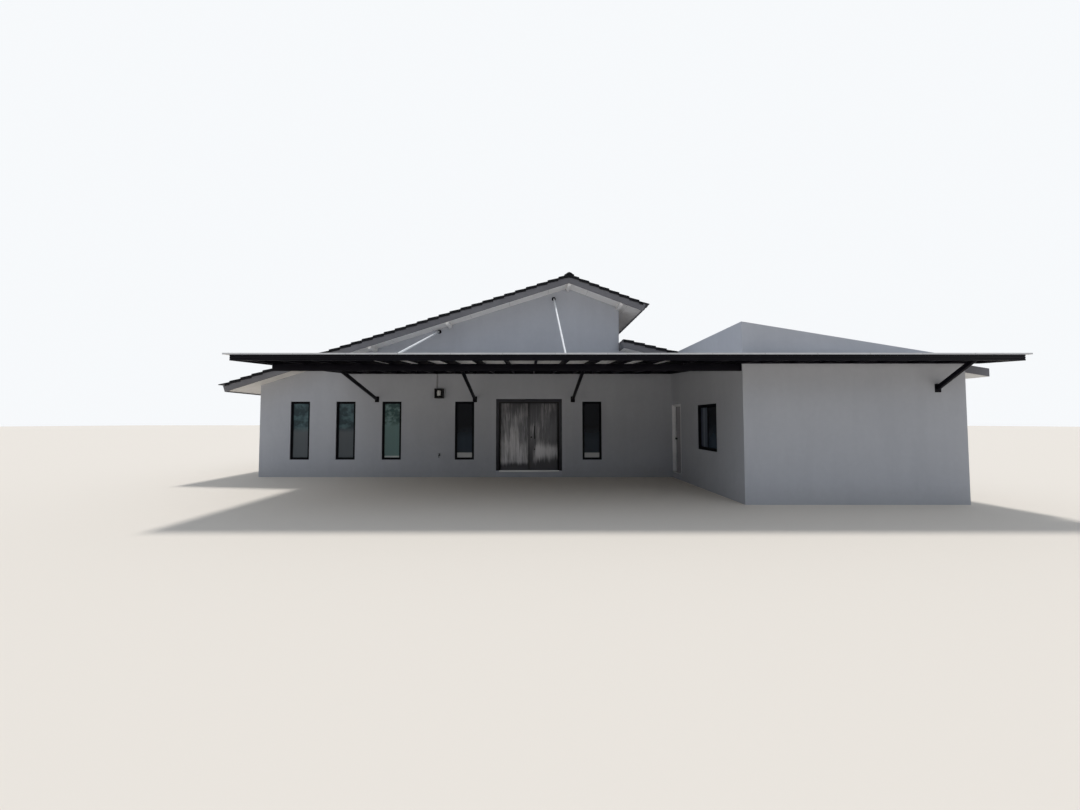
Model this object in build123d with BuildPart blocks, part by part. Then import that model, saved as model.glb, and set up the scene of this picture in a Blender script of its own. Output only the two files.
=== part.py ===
"""Bungalow with a tiled gable roof, a flat-roofed annex in front and a hung steel awning.

Millimetres, +X right, +Y to the back, +Z up. The origin is in the middle of the main doorway, on
the front wall's centre line, at the lowest ground that the walls stand on.
"""
import os
from math import hypot, radians, tan

from build123d import *

# The porch lies above the lowest ground, and all other heights are above the porch
porch_level = 160
threshold = 40

# House plan, from the middle of the main doorway
wall_thickness = 150
left_reach = 8420
corner_reach = 4480
house_depth = 9600
annex_width = 4670
annex_depth = 4277

# Main roof: a ridge that runs front to back, with a lower roof beyond the clerestory wall. The
# left wall's height and the left pitch give the ridge, and the step gives the lower roof.
left_wall_height = 2708
ridge_x = 1220
left_pitch = 17.75
upper_pitch = 21
lower_pitch = 13.7
clerestory_x = 2836
clerestory_step = 1349
clerestory_beam = 300
tile_depth = 60
deck_depth = 190
soffit_depth = 12
board_thickness = 25
board_lip = 25
tile_lap = 20
tile_lip = 30
eave_lap = 190
verge_reach = 600
left_eave_reach = 687
upper_eave_reach = 609
lower_eave_reach = 330
ridge_cap_width = 300
ridge_cap_lip = 20
ridge_cap_rise = 45
purlin_width = 90
purlin_depth = 90
left_purlins = (-4810, -2470)

# Annex roof behind its parapets, whose coping starts level with the lower roof's tiles
coping_depth = 25
parapet_pitch = 9.35
parapet_rise = 120
annex_deck_depth = 170
annex_eave_reach = 510

# Awning: its framing's underside meets the main wall at a fixed rise over the left wall's top
awning_left = 5703
awning_right = 9455
awning_reach = 5084
awning_rise = 353
awning_pitch = 3.81
awning_beam_depth = 117
awning_beam_width = 50
awning_sheet = 30
fascia_grooves = (38, 78)
groove_height = 9
groove_depth = 8
awning_sheet_lap = 143
rafter_pitch = 614
rafter_x = 1374
rafter_steps = 16
rafter_width = 40
main_beam_width = 100
main_beam_depth = 150
main_beam_reach = 4150
main_beam_inset = 290
brace_size = 75
brace_foot_height = 2226
brace_reach = 2746
brace_steps = (0, -5, -10)
annex_brace_x = 8564
plate_thickness = 8
brace_plate_width = 130
brace_plate_height = 180
rod_radius = 24
rod_x = (783, -2826)
rod_drops = (198, 88)
rod_setback = 884
cheek_thickness = 10
cheek_size = 90
rod_plate_radius = 62
running_gap = 0.3

# Windows
window_sill = 378
narrow_width = 600
narrow_height = 1814
front_windows_left = (-7165, -5737, -4297, -2017)
front_window_right = 1972
wide_width = 1130
wide_height = 1165
wide_sill = 836
annex_window_reach = 1800
left_windows = (2400, 6600)
right_windows = (2400, 6600)
back_windows = (-6400, -2600, 1400, 6200)
annex_right_window = 2200
window_face = 45
window_depth = 70
window_setback = 25
sash_face = 32
sash_depth = 26
sash_tracks = (6, 38)
glass_thickness = 6

# Main double door
doorway_width = 2060
doorway_height = 2234
door_frame_face = 90
door_stop = 45
leaf_thickness = 40
leaf_gap = 5
hinge_radius = 8
hinge_length = 100
hinge_flap = 35
hinge_flap_thickness = 3
hinge_heights = (250, 1050, 1850)
pull_length = 410
pull_height = 1185
pull_radius = 14
pull_post_radius = 10
pull_post_spread = 328
pull_standoff = 50
pull_inset = 175
lock_height = 1035
lock_radius = 26
lock_inset = 75
lock_reach = 16

# Side door in the annex
side_doorway_width = 750
side_doorway_height = 2050
side_frame_face = 45
side_stop = 20
side_knob_radius = 28
side_knob_height = 1000
side_knob_inset = 65
side_knob_reach = 50

# Fittings on the front wall
lamp_x = -2800
lamp_height = 2442
lamp_width = 268
lamp_body_height = 305
lamp_depth = 165
lamp_bar = 22
drum_radius = 67
socket_radius = 34
socket_height = 62
conduit_radius = 11
conduit_x = -2890
tap_x = -2790
tap_height = 524
tap_radius = 14
tap_reach = 110
tap_spout_radius = 10
tap_drop = 70
tap_flange_radius = 28
tap_flange_thickness = 6
tap_collar = 4
tap_collar_height = 18
tap_stem_radius = 8
tap_stem_reach = 55
tap_stem_height = 52
tap_lever = 96
tap_lever_width = 18
tap_lever_thickness = 9

# Faces and lines that follow from the sizes above
front_y = -wall_thickness / 2
inner_y = wall_thickness / 2
back_y = front_y + house_depth
left_x = -left_reach
right_x = corner_reach + annex_width
annex_y = front_y - annex_depth
roof_depth = tile_depth + deck_depth
verge_y = front_y - verge_reach
back_verge_y = back_y + verge_reach
left_eave_x = left_x - left_eave_reach
upper_eave_x = clerestory_x + upper_eave_reach
lower_eave_x = right_x + lower_eave_reach
awning_y = front_y - awning_reach
floor_level = porch_level + threshold
left_wall_z = porch_level + left_wall_height
ridge_z = left_wall_z + roof_depth + (ridge_x - left_x) * tan(radians(left_pitch))
pane_z = porch_level + window_sill + narrow_height / 2
wide_z = porch_level + wide_sill + wide_height / 2
door_half = doorway_width / 2
door_head = floor_level + doorway_height
side_head = floor_level + side_doorway_height


def left_top(x):
    """Height of the left roof's tile face."""
    return ridge_z - (ridge_x - x) * tan(radians(left_pitch))


def upper_top(x):
    """Height of the short right roof's tile face."""
    return ridge_z - (x - ridge_x) * tan(radians(upper_pitch))


def lower_top(x):
    """Height of the lower right roof's tile face."""
    return upper_top(clerestory_x) - clerestory_step - (x - clerestory_x) * tan(radians(lower_pitch))


parapet_z = lower_top(corner_reach) - coping_depth


def parapet_top(x):
    """Height of the annex's front parapet, under the coping."""
    return parapet_z - (x - corner_reach) * tan(radians(parapet_pitch))


def awning_under(y):
    """Height of the underside of the awning's framing."""
    return left_wall_z + awning_rise + (y - front_y) * tan(radians(awning_pitch))


def awning_top(y):
    """Height of the top of the awning's framing."""
    return awning_under(y) + awning_beam_depth


def facing_front(y):
    """Plane parallel to the front, at depth y. Its sketches are in X and Z, and extrude forwards."""
    return Plane.XZ.offset(-y)


def facing_right(x):
    """Plane parallel to the sides, at x. Its sketches are in Y and Z, and extrude to the right."""
    return Plane.YZ.offset(x)


def outline(*points):
    """Face with straight sides through the points, in the sketch that is open."""
    with BuildLine() as border:
        Polyline(*points, close=True)
    make_face(border.edges())


def band(top, start, end, upper, lower):
    """Outline that follows a roof line between two places, from one depth below it to another."""
    outline(
        (start, top(start) - upper),
        (end, top(end) - upper),
        (end, top(end) - lower),
        (start, top(start) - lower),
    )


def block(x0, x1, y0, y1, z0, z1, mode=Mode.ADD):
    """Box between two corners, in the part that is open."""
    with BuildSketch(Plane.XY.offset(z0)) as profile:
        with Locations(((x0 + x1) / 2, (y0 + y1) / 2)):
            Rectangle(x1 - x0, y1 - y0)
    extrude(profile.sketch, amount=z1 - z0, mode=mode)


def roof_layer(top, start, end, upper, lower, y0, y1):
    """Sloping layer of the main roof, from y0 in front to y1 behind."""
    with BuildSketch(facing_front(y1)) as profile:
        band(top, start, end, upper, lower)
    extrude(profile.sketch, amount=y1 - y0)


def awning_beam(x0, x1, y0, y1, upper=0, lower=awning_beam_depth, mode=Mode.ADD):
    """Member of the awning with plumb faces, and with its top and bottom on the awning's slope."""
    with BuildSketch(facing_right(x0)) as profile:
        band(awning_top, y0, y1, upper, lower)
    extrude(profile.sketch, amount=x1 - x0, mode=mode)


# Floors
with BuildPart() as floor_slab:
    block(left_x + wall_thickness, right_x - wall_thickness, inner_y, back_y - wall_thickness, 0, floor_level)
    block(-door_half, door_half, front_y, inner_y, 0, floor_level)
floor_slab.part.label = "floor_slab"

side_door_y = front_y - side_doorway_width
with BuildPart() as annex_floor:
    block(
        corner_reach + wall_thickness, right_x - wall_thickness, annex_y + wall_thickness, front_y,
        0, floor_level,
    )
    block(corner_reach, corner_reach + wall_thickness, side_door_y, front_y, 0, floor_level)
annex_floor.part.label = "annex_floor"


# Main walls, each cut to the underside of the roof deck
def wall_z(top, x):
    """Height of a wall under a roof line."""
    return top(x) - roof_depth


with BuildPart() as front_wall_left:
    with BuildSketch(facing_front(inner_y)):
        outline(
            (left_x, 0), (-door_half, 0),
            (-door_half, wall_z(left_top, -door_half)), (left_x, wall_z(left_top, left_x)),
        )
        with Locations(*[(x, pane_z) for x in front_windows_left]):
            Rectangle(narrow_width, narrow_height, mode=Mode.SUBTRACT)
    extrude(amount=wall_thickness)
front_wall_left.part.label = "front_wall_left"

with BuildPart() as front_wall_over_door:
    with BuildSketch(facing_front(inner_y)):
        outline(
            (-door_half, door_head), (door_half, door_head),
            (door_half, wall_z(left_top, door_half)), (-door_half, wall_z(left_top, -door_half)),
        )
    extrude(amount=wall_thickness)
front_wall_over_door.part.label = "front_wall_over_door"

with BuildPart() as front_wall_right:
    with BuildSketch(facing_front(inner_y)):
        outline(
            (door_half, 0), (corner_reach, 0),
            (corner_reach, wall_z(lower_top, corner_reach)), (clerestory_x, wall_z(lower_top, clerestory_x)),
            (clerestory_x, wall_z(upper_top, clerestory_x)), (ridge_x, wall_z(upper_top, ridge_x)),
            (door_half, wall_z(left_top, door_half)),
        )
        with Locations((front_window_right, pane_z)):
            Rectangle(narrow_width, narrow_height, mode=Mode.SUBTRACT)
    extrude(amount=wall_thickness)
front_wall_right.part.label = "front_wall_right"

with BuildPart() as party_wall:
    with BuildSketch(facing_front(inner_y)):
        outline(
            (corner_reach, 0), (right_x, 0),
            (right_x, parapet_top(right_x)), (corner_reach, parapet_z),
        )
    extrude(amount=wall_thickness)
party_wall.part.label = "party_wall"

with BuildPart() as back_wall:
    with BuildSketch(facing_front(back_y)):
        outline(
            (left_x, 0), (right_x, 0), (right_x, wall_z(lower_top, right_x)),
            (clerestory_x, wall_z(lower_top, clerestory_x)), (clerestory_x, wall_z(upper_top, clerestory_x)),
            (ridge_x, wall_z(upper_top, ridge_x)), (left_x, wall_z(left_top, left_x)),
        )
        with Locations(*[(x, wide_z) for x in back_windows]):
            Rectangle(wide_width, wide_height, mode=Mode.SUBTRACT)
    extrude(amount=wall_thickness)
back_wall.part.label = "back_wall"


def end_wall(x, top, windows):
    """Wall along a side of the house, from its left face at x, with its top on the roof line."""
    inner_back = back_y - wall_thickness
    with BuildSketch(facing_front(inner_back)) as profile:
        outline(
            (x, 0), (x + wall_thickness, 0),
            (x + wall_thickness, wall_z(top, x + wall_thickness)), (x, wall_z(top, x)),
        )
    extrude(profile.sketch, amount=inner_back - inner_y)
    with BuildSketch(facing_right(x)) as profile:
        with Locations(*[(front_y + y, wide_z) for y in windows]):
            Rectangle(wide_width, wide_height)
    extrude(profile.sketch, amount=wall_thickness, mode=Mode.SUBTRACT)


with BuildPart() as left_wall:
    end_wall(left_x, left_top, left_windows)
left_wall.part.label = "left_wall"

with BuildPart() as right_wall:
    end_wall(right_x - wall_thickness, lower_top, right_windows)
right_wall.part.label = "right_wall"

clerestory_inner = clerestory_x - wall_thickness
clerestory_foot = wall_z(lower_top, clerestory_x) - clerestory_beam
with BuildPart() as clerestory_wall:
    with BuildSketch(facing_front(back_y - wall_thickness)):
        outline(
            (clerestory_inner, clerestory_foot), (clerestory_x, clerestory_foot),
            (clerestory_x, wall_z(upper_top, clerestory_x)),
            (clerestory_inner, wall_z(upper_top, clerestory_inner)),
        )
    extrude(amount=house_depth - 2 * wall_thickness)
clerestory_wall.part.label = "clerestory_wall"

# Roof decks, and the tile layer on each
deck_y0 = verge_y + board_thickness
deck_y1 = back_verge_y - board_thickness
tile_y0 = verge_y - tile_lap
tile_y1 = back_verge_y + tile_lap
end_board_x = clerestory_x + board_thickness
end_board_spans = ((deck_y0, front_y), (back_y, deck_y1))


def tile_lips(top, start, end, back_end):
    """Turned-down edges of the verge tiles, which lap over the boards in front and behind."""
    lip_foot = tile_depth + tile_lip
    roof_layer(top, start, end, tile_depth, lip_foot, tile_y0, verge_y)
    roof_layer(top, start, back_end, tile_depth, lip_foot, back_verge_y, tile_y1)


with BuildPart() as left_roof_deck:
    roof_layer(left_top, left_eave_x + board_thickness, ridge_x, tile_depth, roof_depth, deck_y0, deck_y1)
left_roof_deck.part.label = "left_roof_deck"

with BuildPart() as left_roof_tiles:
    roof_layer(left_top, left_eave_x - eave_lap, ridge_x, 0, tile_depth, tile_y0, tile_y1)
    tile_lips(left_top, left_eave_x, ridge_x, ridge_x)
left_roof_tiles.part.label = "left_roof_tiles"

with BuildPart() as upper_roof_deck:
    roof_layer(upper_top, ridge_x, upper_eave_x - board_thickness, tile_depth, roof_depth, deck_y0, deck_y1)
upper_roof_deck.part.label = "upper_roof_deck"

with BuildPart() as upper_roof_tiles:
    roof_layer(upper_top, ridge_x, upper_eave_x + eave_lap, 0, tile_depth, tile_y0, tile_y1)
    tile_lips(upper_top, ridge_x, upper_eave_x, upper_eave_x)
upper_roof_tiles.part.label = "upper_roof_tiles"

with BuildPart() as lower_roof_deck:
    roof_layer(lower_top, clerestory_x, corner_reach, tile_depth, roof_depth, deck_y0, deck_y1)
    roof_layer(
        lower_top, corner_reach, lower_eave_x - board_thickness, tile_depth, roof_depth, inner_y, deck_y1,
    )
    for y0, y1 in end_board_spans:
        block(clerestory_x, end_board_x, y0, y1, 0, ridge_z, mode=Mode.SUBTRACT)
lower_roof_deck.part.label = "lower_roof_deck"

with BuildPart() as lower_roof_tiles:
    roof_layer(lower_top, clerestory_x, corner_reach, 0, tile_depth, tile_y0, tile_y1)
    roof_layer(lower_top, corner_reach, lower_eave_x + eave_lap, 0, tile_depth, inner_y, tile_y1)
    tile_lips(lower_top, clerestory_x, corner_reach, lower_eave_x)
lower_roof_tiles.part.label = "lower_roof_tiles"

cap_left = ridge_x - ridge_cap_width / 2
cap_right = ridge_x + ridge_cap_width / 2
with BuildPart() as ridge_cap:
    with BuildSketch(facing_front(tile_y1)):
        with BuildLine():
            Polyline(
                (cap_left, left_top(cap_left) + ridge_cap_lip), (cap_left, left_top(cap_left)),
                (ridge_x, ridge_z),
                (cap_right, upper_top(cap_right)), (cap_right, upper_top(cap_right) + ridge_cap_lip),
            )
            ThreePointArc(
                (cap_right, upper_top(cap_right) + ridge_cap_lip),
                (ridge_x, ridge_z + ridge_cap_rise),
                (cap_left, left_top(cap_left) + ridge_cap_lip),
            )
        make_face()
    extrude(amount=tile_y1 - tile_y0)
ridge_cap.part.label = "ridge_cap"

# Verge and eave boards, soffits and purlin ends
board_foot = roof_depth + soffit_depth + board_lip


def verge_boards(top, start, end, back_end):
    """Sloping boards under the tile edge, one in front and one behind."""
    roof_layer(top, start, end, tile_depth, board_foot, verge_y, deck_y0)
    roof_layer(top, start, back_end, tile_depth, board_foot, deck_y1, back_verge_y)


with BuildPart() as left_verge_boards:
    verge_boards(left_top, left_eave_x, ridge_x, ridge_x)
left_verge_boards.part.label = "left_verge_boards"

with BuildPart() as upper_verge_boards:
    verge_boards(upper_top, ridge_x, upper_eave_x, upper_eave_x)
upper_verge_boards.part.label = "upper_verge_boards"

with BuildPart() as lower_verge_boards:
    verge_boards(lower_top, clerestory_x, corner_reach, lower_eave_x)
    for y0, y1 in end_board_spans:
        roof_layer(lower_top, clerestory_x, end_board_x, tile_depth, board_foot, y0, y1)
lower_verge_boards.part.label = "lower_verge_boards"

with BuildPart() as eave_boards:
    roof_layer(
        left_top, left_eave_x, left_eave_x + board_thickness, tile_depth, board_foot, deck_y0, deck_y1,
    )
    roof_layer(
        upper_top, upper_eave_x - board_thickness, upper_eave_x, tile_depth, board_foot, deck_y0, deck_y1,
    )
    roof_layer(
        lower_top, lower_eave_x - board_thickness, lower_eave_x, tile_depth, board_foot, inner_y, deck_y1,
    )
eave_boards.part.label = "eave_boards"

soffit_foot = roof_depth + soffit_depth
with BuildPart() as upper_soffit:
    roof_layer(left_top, left_eave_x + board_thickness, ridge_x, roof_depth, soffit_foot, deck_y0, deck_y1)
    roof_layer(upper_top, ridge_x, upper_eave_x - board_thickness, roof_depth, soffit_foot, deck_y0, deck_y1)
    block(left_x, clerestory_x, front_y, back_y, 0, ridge_z, mode=Mode.SUBTRACT)
upper_soffit.part.label = "upper_soffit"

with BuildPart() as lower_soffit:
    roof_layer(lower_top, clerestory_x, corner_reach, roof_depth, soffit_foot, deck_y0, front_y)
    roof_layer(
        lower_top, clerestory_x, lower_eave_x - board_thickness, roof_depth, soffit_foot, inner_y, deck_y1,
    )
    block(clerestory_x, right_x, inner_y, back_y, 0, ridge_z, mode=Mode.SUBTRACT)
    for y0, y1 in end_board_spans:
        block(clerestory_x, end_board_x, y0, y1, 0, ridge_z, mode=Mode.SUBTRACT)
lower_soffit.part.label = "lower_soffit"

purlin_foot = soffit_foot + purlin_depth
with BuildPart() as purlin_ends:
    for y0, y1 in ((deck_y0, front_y), (back_y, deck_y1)):
        for x in left_purlins:
            roof_layer(left_top, x - purlin_width / 2, x + purlin_width / 2, soffit_foot, purlin_foot, y0, y1)
        roof_layer(left_top, ridge_x - purlin_width / 2, ridge_x, soffit_foot, purlin_foot, y0, y1)
        roof_layer(upper_top, ridge_x, ridge_x + purlin_width / 2, soffit_foot, purlin_foot, y0, y1)
        roof_layer(upper_top, clerestory_x - purlin_width, clerestory_x, soffit_foot, purlin_foot, y0, y1)
purlin_ends.part.label = "purlin_ends"

# Annex walls and roof
annex_inner_y = annex_y + wall_thickness
annex_window_y = annex_y + annex_window_reach


def annex_deck_top(x):
    """Height of the annex's roof, a fixed drop behind its front parapet."""
    return parapet_top(x) - parapet_rise


with BuildPart() as annex_side_wall:
    block(corner_reach, corner_reach + wall_thickness, annex_inner_y, side_door_y, 0, parapet_z)
    with BuildSketch(facing_right(corner_reach)):
        with Locations((annex_window_y, wide_z)):
            Rectangle(wide_width, wide_height)
    extrude(amount=wall_thickness, mode=Mode.SUBTRACT)
annex_side_wall.part.label = "annex_side_wall"

with BuildPart() as annex_wall_over_door:
    block(corner_reach, corner_reach + wall_thickness, side_door_y, front_y, side_head, parapet_z)
annex_wall_over_door.part.label = "annex_wall_over_door"

with BuildPart() as annex_front_wall:
    with BuildSketch(facing_front(annex_inner_y)):
        outline(
            (corner_reach, 0), (right_x, 0), (right_x, parapet_top(right_x)), (corner_reach, parapet_z),
        )
    extrude(amount=wall_thickness)
annex_front_wall.part.label = "annex_front_wall"

with BuildPart() as annex_right_wall:
    with BuildSketch(facing_front(front_y)):
        outline(
            (right_x - wall_thickness, 0), (right_x, 0),
            (right_x, annex_deck_top(right_x) - annex_deck_depth),
            (right_x - wall_thickness, annex_deck_top(right_x - wall_thickness) - annex_deck_depth),
        )
    extrude(amount=front_y - annex_inner_y)
    with BuildSketch(facing_right(right_x - wall_thickness)):
        with Locations((annex_y + annex_right_window, wide_z)):
            Rectangle(wide_width, wide_height)
    extrude(amount=wall_thickness, mode=Mode.SUBTRACT)
annex_right_wall.part.label = "annex_right_wall"

with BuildPart() as annex_roof_deck:
    roof_layer(
        annex_deck_top, corner_reach + wall_thickness, right_x, 0, annex_deck_depth, annex_inner_y, front_y,
    )
annex_roof_deck.part.label = "annex_roof_deck"

with BuildPart() as annex_coping:
    roof_layer(parapet_top, corner_reach, right_x, -coping_depth, 0, annex_y, annex_inner_y)
    roof_layer(parapet_top, corner_reach, right_x, -coping_depth, 0, front_y, inner_y)
    block(
        corner_reach, corner_reach + wall_thickness, annex_inner_y, front_y,
        parapet_z, parapet_z + coping_depth,
    )
annex_coping.part.label = "annex_coping"

with BuildPart() as annex_eave_box:
    roof_layer(
        annex_deck_top, right_x, right_x + annex_eave_reach, 0, annex_deck_depth, annex_y, front_y,
    )
annex_eave_box.part.label = "annex_eave_box"

# Awning: framing on one slope, hung from the gable and propped off the walls
frame_left = -awning_left
frame_right = awning_right
side_inner_left = frame_left + awning_beam_width
side_inner_right = frame_right - awning_beam_width
front_beam_y = awning_y + awning_beam_width
back_beam_y = front_y - awning_beam_width
annex_beam_y = annex_y - awning_beam_width

with BuildPart() as awning_front_beam:
    awning_beam(frame_left, frame_right, awning_y, front_beam_y)
    for groove in fascia_grooves:
        awning_beam(
            frame_left, frame_right, awning_y, awning_y + groove_depth,
            upper=groove, lower=groove + groove_height, mode=Mode.SUBTRACT,
        )
awning_front_beam.part.label = "awning_front_beam"

with BuildPart() as awning_side_beams:
    awning_beam(frame_left, side_inner_left, front_beam_y, front_y)
    awning_beam(side_inner_right, frame_right, front_beam_y, annex_y)
awning_side_beams.part.label = "awning_side_beams"

with BuildPart() as awning_wall_beams:
    awning_beam(side_inner_left, corner_reach, back_beam_y, front_y)
    awning_beam(corner_reach, side_inner_right, annex_beam_y, annex_y)
awning_wall_beams.part.label = "awning_wall_beams"

with BuildPart() as awning_corner_beam:
    awning_beam(corner_reach - awning_beam_width, corner_reach, front_beam_y, back_beam_y)
awning_corner_beam.part.label = "awning_corner_beam"

main_beam_y = front_y - main_beam_reach
with BuildPart() as awning_main_beam:
    awning_beam(
        frame_left + main_beam_inset, corner_reach, main_beam_y - main_beam_width, main_beam_y,
        upper=awning_beam_depth, lower=awning_beam_depth + main_beam_depth,
    )
awning_main_beam.part.label = "awning_main_beam"

rafter_half = rafter_width / 2
with BuildPart() as awning_rafters:
    for step in range(-rafter_steps, rafter_steps):
        x = rafter_x + step * rafter_pitch
        if side_inner_left < x - rafter_half and x + rafter_half < corner_reach - awning_beam_width:
            awning_beam(x - rafter_half, x + rafter_half, front_beam_y, back_beam_y)
        x = annex_brace_x + step * rafter_pitch
        if corner_reach < x - rafter_half and x + rafter_half < side_inner_right:
            awning_beam(x - rafter_half, x + rafter_half, front_beam_y, annex_beam_y)
awning_rafters.part.label = "awning_rafters"

with BuildPart() as awning_deck:
    awning_beam(
        frame_left - awning_sheet_lap, corner_reach, awning_y, front_y, upper=-awning_sheet, lower=0,
    )
    awning_beam(
        corner_reach, frame_right + awning_sheet_lap, awning_y, annex_y, upper=-awning_sheet, lower=0,
    )
awning_deck.part.label = "awning_deck"


def brace_bar(x, wall_y, end_y):
    """Square tube that rises from a plate on a wall to the underside of the framing at end_y."""
    foot_y = wall_y - plate_thickness
    foot_z = porch_level + brace_foot_height
    rise = (awning_under(end_y) - foot_z) / (foot_y - end_y)
    fall = tan(radians(awning_pitch))
    depth = brace_size * hypot(1, rise)
    upper_y = foot_y - (awning_under(foot_y) - foot_z - depth) / (rise + fall)
    with BuildSketch(facing_right(x - brace_size / 2)) as profile:
        outline(
            (foot_y, foot_z), (foot_y, foot_z + depth),
            (upper_y, awning_under(upper_y)), (end_y, awning_under(end_y)),
        )
    extrude(profile.sketch, amount=brace_size)


brace_places = [(rafter_x + step * rafter_pitch, front_y, front_y - brace_reach) for step in brace_steps]
brace_places.append((annex_brace_x, annex_y, front_beam_y))
with BuildPart() as wall_braces:
    for x, wall_y, end_y in brace_places:
        brace_bar(x, wall_y, end_y)
wall_braces.part.label = "wall_braces"

brace_plate_z = porch_level + brace_foot_height + brace_size / 2
with BuildPart() as brace_plates:
    for x, wall_y, _ in brace_places:
        block(
            x - brace_plate_width / 2, x + brace_plate_width / 2, wall_y - plate_thickness, wall_y,
            brace_plate_z - brace_plate_height / 2, brace_plate_z + brace_plate_height / 2,
        )
brace_plates.part.label = "brace_plates"

# Tie rods from the gable to the awning's top, each held between the cheeks of two brackets
rod_y = awning_y + rod_setback
rod_foot_z = awning_top(rod_y) + awning_sheet + cheek_size / 2
rod_places = [(x, left_top(x) - soffit_foot - drop) for x, drop in zip(rod_x, rod_drops)]
cheek_inner = rod_radius + running_gap
cheek_outer = cheek_inner + cheek_thickness
with BuildPart() as tie_rods:
    for x, z in rod_places:
        foot = Vector(x, rod_y, rod_foot_z)
        head = Vector(x, front_y - cheek_size / 2, z)
        with BuildSketch(Plane(origin=foot, z_dir=head - foot)):
            Circle(rod_radius)
        extrude(amount=(head - foot).length)
tie_rods.part.label = "tie_rods"

with BuildPart() as tie_rod_wall_brackets:
    for x, z in rod_places:
        with BuildSketch(facing_front(front_y)):
            with Locations((x, z)):
                Circle(rod_plate_radius)
        extrude(amount=plate_thickness)
        for x0 in (x - cheek_outer, x + cheek_inner):
            block(
                x0, x0 + cheek_thickness, front_y - cheek_size, front_y - plate_thickness,
                z - cheek_size / 2, z + cheek_size / 2,
            )
tie_rod_wall_brackets.part.label = "tie_rod_wall_brackets"

bracket_y0 = rod_y - cheek_size / 2
bracket_y1 = rod_y + cheek_size / 2
with BuildPart() as tie_rod_deck_brackets:
    for x, z in rod_places:
        awning_beam(
            x - cheek_outer, x + cheek_outer, bracket_y0, bracket_y1,
            upper=-awning_sheet - plate_thickness, lower=-awning_sheet,
        )
        for x0 in (x - cheek_outer, x + cheek_inner):
            awning_beam(
                x0, x0 + cheek_thickness, bracket_y0, bracket_y1,
                upper=-awning_sheet - cheek_size, lower=-awning_sheet - plate_thickness,
            )
tie_rod_deck_brackets.part.label = "tie_rod_deck_brackets"


# Windows, in planes that look out through each wall
def frame_rings(plane, centres, width, height):
    """Window frames, each a ring all round."""
    with BuildSketch(plane) as profile:
        with Locations(*centres):
            Rectangle(width, height)
            Rectangle(width - 2 * window_face, height - 2 * window_face, mode=Mode.SUBTRACT)
    extrude(profile.sketch, amount=window_depth)


def sash_sizes():
    """Width and height of a sliding sash, and how far its middle lies from the window's."""
    clear_width = wide_width - 2 * window_face
    sash_width = (clear_width + sash_face) / 2
    return sash_width, wide_height - 2 * window_face, (clear_width - sash_width) / 2


def sliding_sashes(plane, centres):
    """Two sashes in each window, one in each track, which lap at the middle by one stile."""
    width, height, shift = sash_sizes()
    for side, track in zip((-1, 1), sash_tracks):
        with BuildSketch(plane.offset(track)) as profile:
            with Locations(*[(across + side * shift, up) for across, up in centres]):
                Rectangle(width, height)
                Rectangle(width - 2 * sash_face, height - 2 * sash_face, mode=Mode.SUBTRACT)
        extrude(profile.sketch, amount=sash_depth)


def glass_panes(plane, centres, width, height, middle):
    """Sheets of glass with the middle of their thickness at one distance from a plane."""
    with BuildSketch(plane.offset(middle - glass_thickness / 2)) as profile:
        with Locations(*centres):
            Rectangle(width, height)
    extrude(profile.sketch, amount=glass_thickness)


front_plane = facing_front(front_y + window_setback + window_depth)
back_plane = facing_front(back_y - window_setback)
left_plane = facing_right(left_x + window_setback)
right_plane = facing_right(right_x - window_setback - window_depth)
annex_plane = facing_right(corner_reach + window_setback)
narrow_centres = [(x, pane_z) for x in (*front_windows_left, front_window_right)]
wide_groups = (
    (back_plane, [(x, wide_z) for x in back_windows]),
    (left_plane, [(front_y + y, wide_z) for y in left_windows]),
    (right_plane, [(front_y + y, wide_z) for y in right_windows] + [(annex_y + annex_right_window, wide_z)]),
    (annex_plane, [(annex_window_y, wide_z)]),
)

with BuildPart() as narrow_window_frames:
    frame_rings(front_plane, narrow_centres, narrow_width, narrow_height)
narrow_window_frames.part.label = "narrow_window_frames"

with BuildPart() as narrow_window_glass:
    glass_panes(
        front_plane, narrow_centres, narrow_width - 2 * window_face, narrow_height - 2 * window_face,
        window_depth / 2,
    )
narrow_window_glass.part.label = "narrow_window_glass"

with BuildPart() as wide_window_frames:
    for plane, centres in wide_groups:
        frame_rings(plane, centres, wide_width, wide_height)
        sliding_sashes(plane, centres)
wide_window_frames.part.label = "wide_window_frames"

with BuildPart() as wide_window_glass:
    sash_width, sash_height, sash_shift = sash_sizes()
    for plane, centres in wide_groups:
        for side, track in zip((-1, 1), sash_tracks):
            sash_centres = [(across + side * sash_shift, up) for across, up in centres]
            glass_panes(
                plane, sash_centres, sash_width - 2 * sash_face, sash_height - 2 * sash_face,
                track + sash_depth / 2,
            )
wide_window_glass.part.label = "wide_window_glass"

# Main double door: the leaves close on a stop and swing inwards on knuckle hinges
stop_half = door_half - door_frame_face
leaf_y0 = inner_y - leaf_thickness
leaf_outer = stop_half - leaf_gap
leaf_foot = floor_level + leaf_gap
leaf_head = door_head - door_frame_face - leaf_gap
hinge_y = inner_y + hinge_radius + running_gap
hinge_x = stop_half - leaf_gap / 2


def knuckles(x, side, low, high):
    """Hinge knuckles between two heights above each hinge's foot, with a flap towards one side."""
    for hinge_z in hinge_heights:
        z = floor_level + hinge_z + low
        with BuildSketch(Plane.XY.offset(z)) as profile:
            with Locations((x, hinge_y)):
                Circle(hinge_radius)
            with Locations((x + side * hinge_flap / 2, inner_y + hinge_flap_thickness / 2)):
                Rectangle(hinge_flap, hinge_flap_thickness)
        extrude(profile.sketch, amount=high - low)


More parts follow.
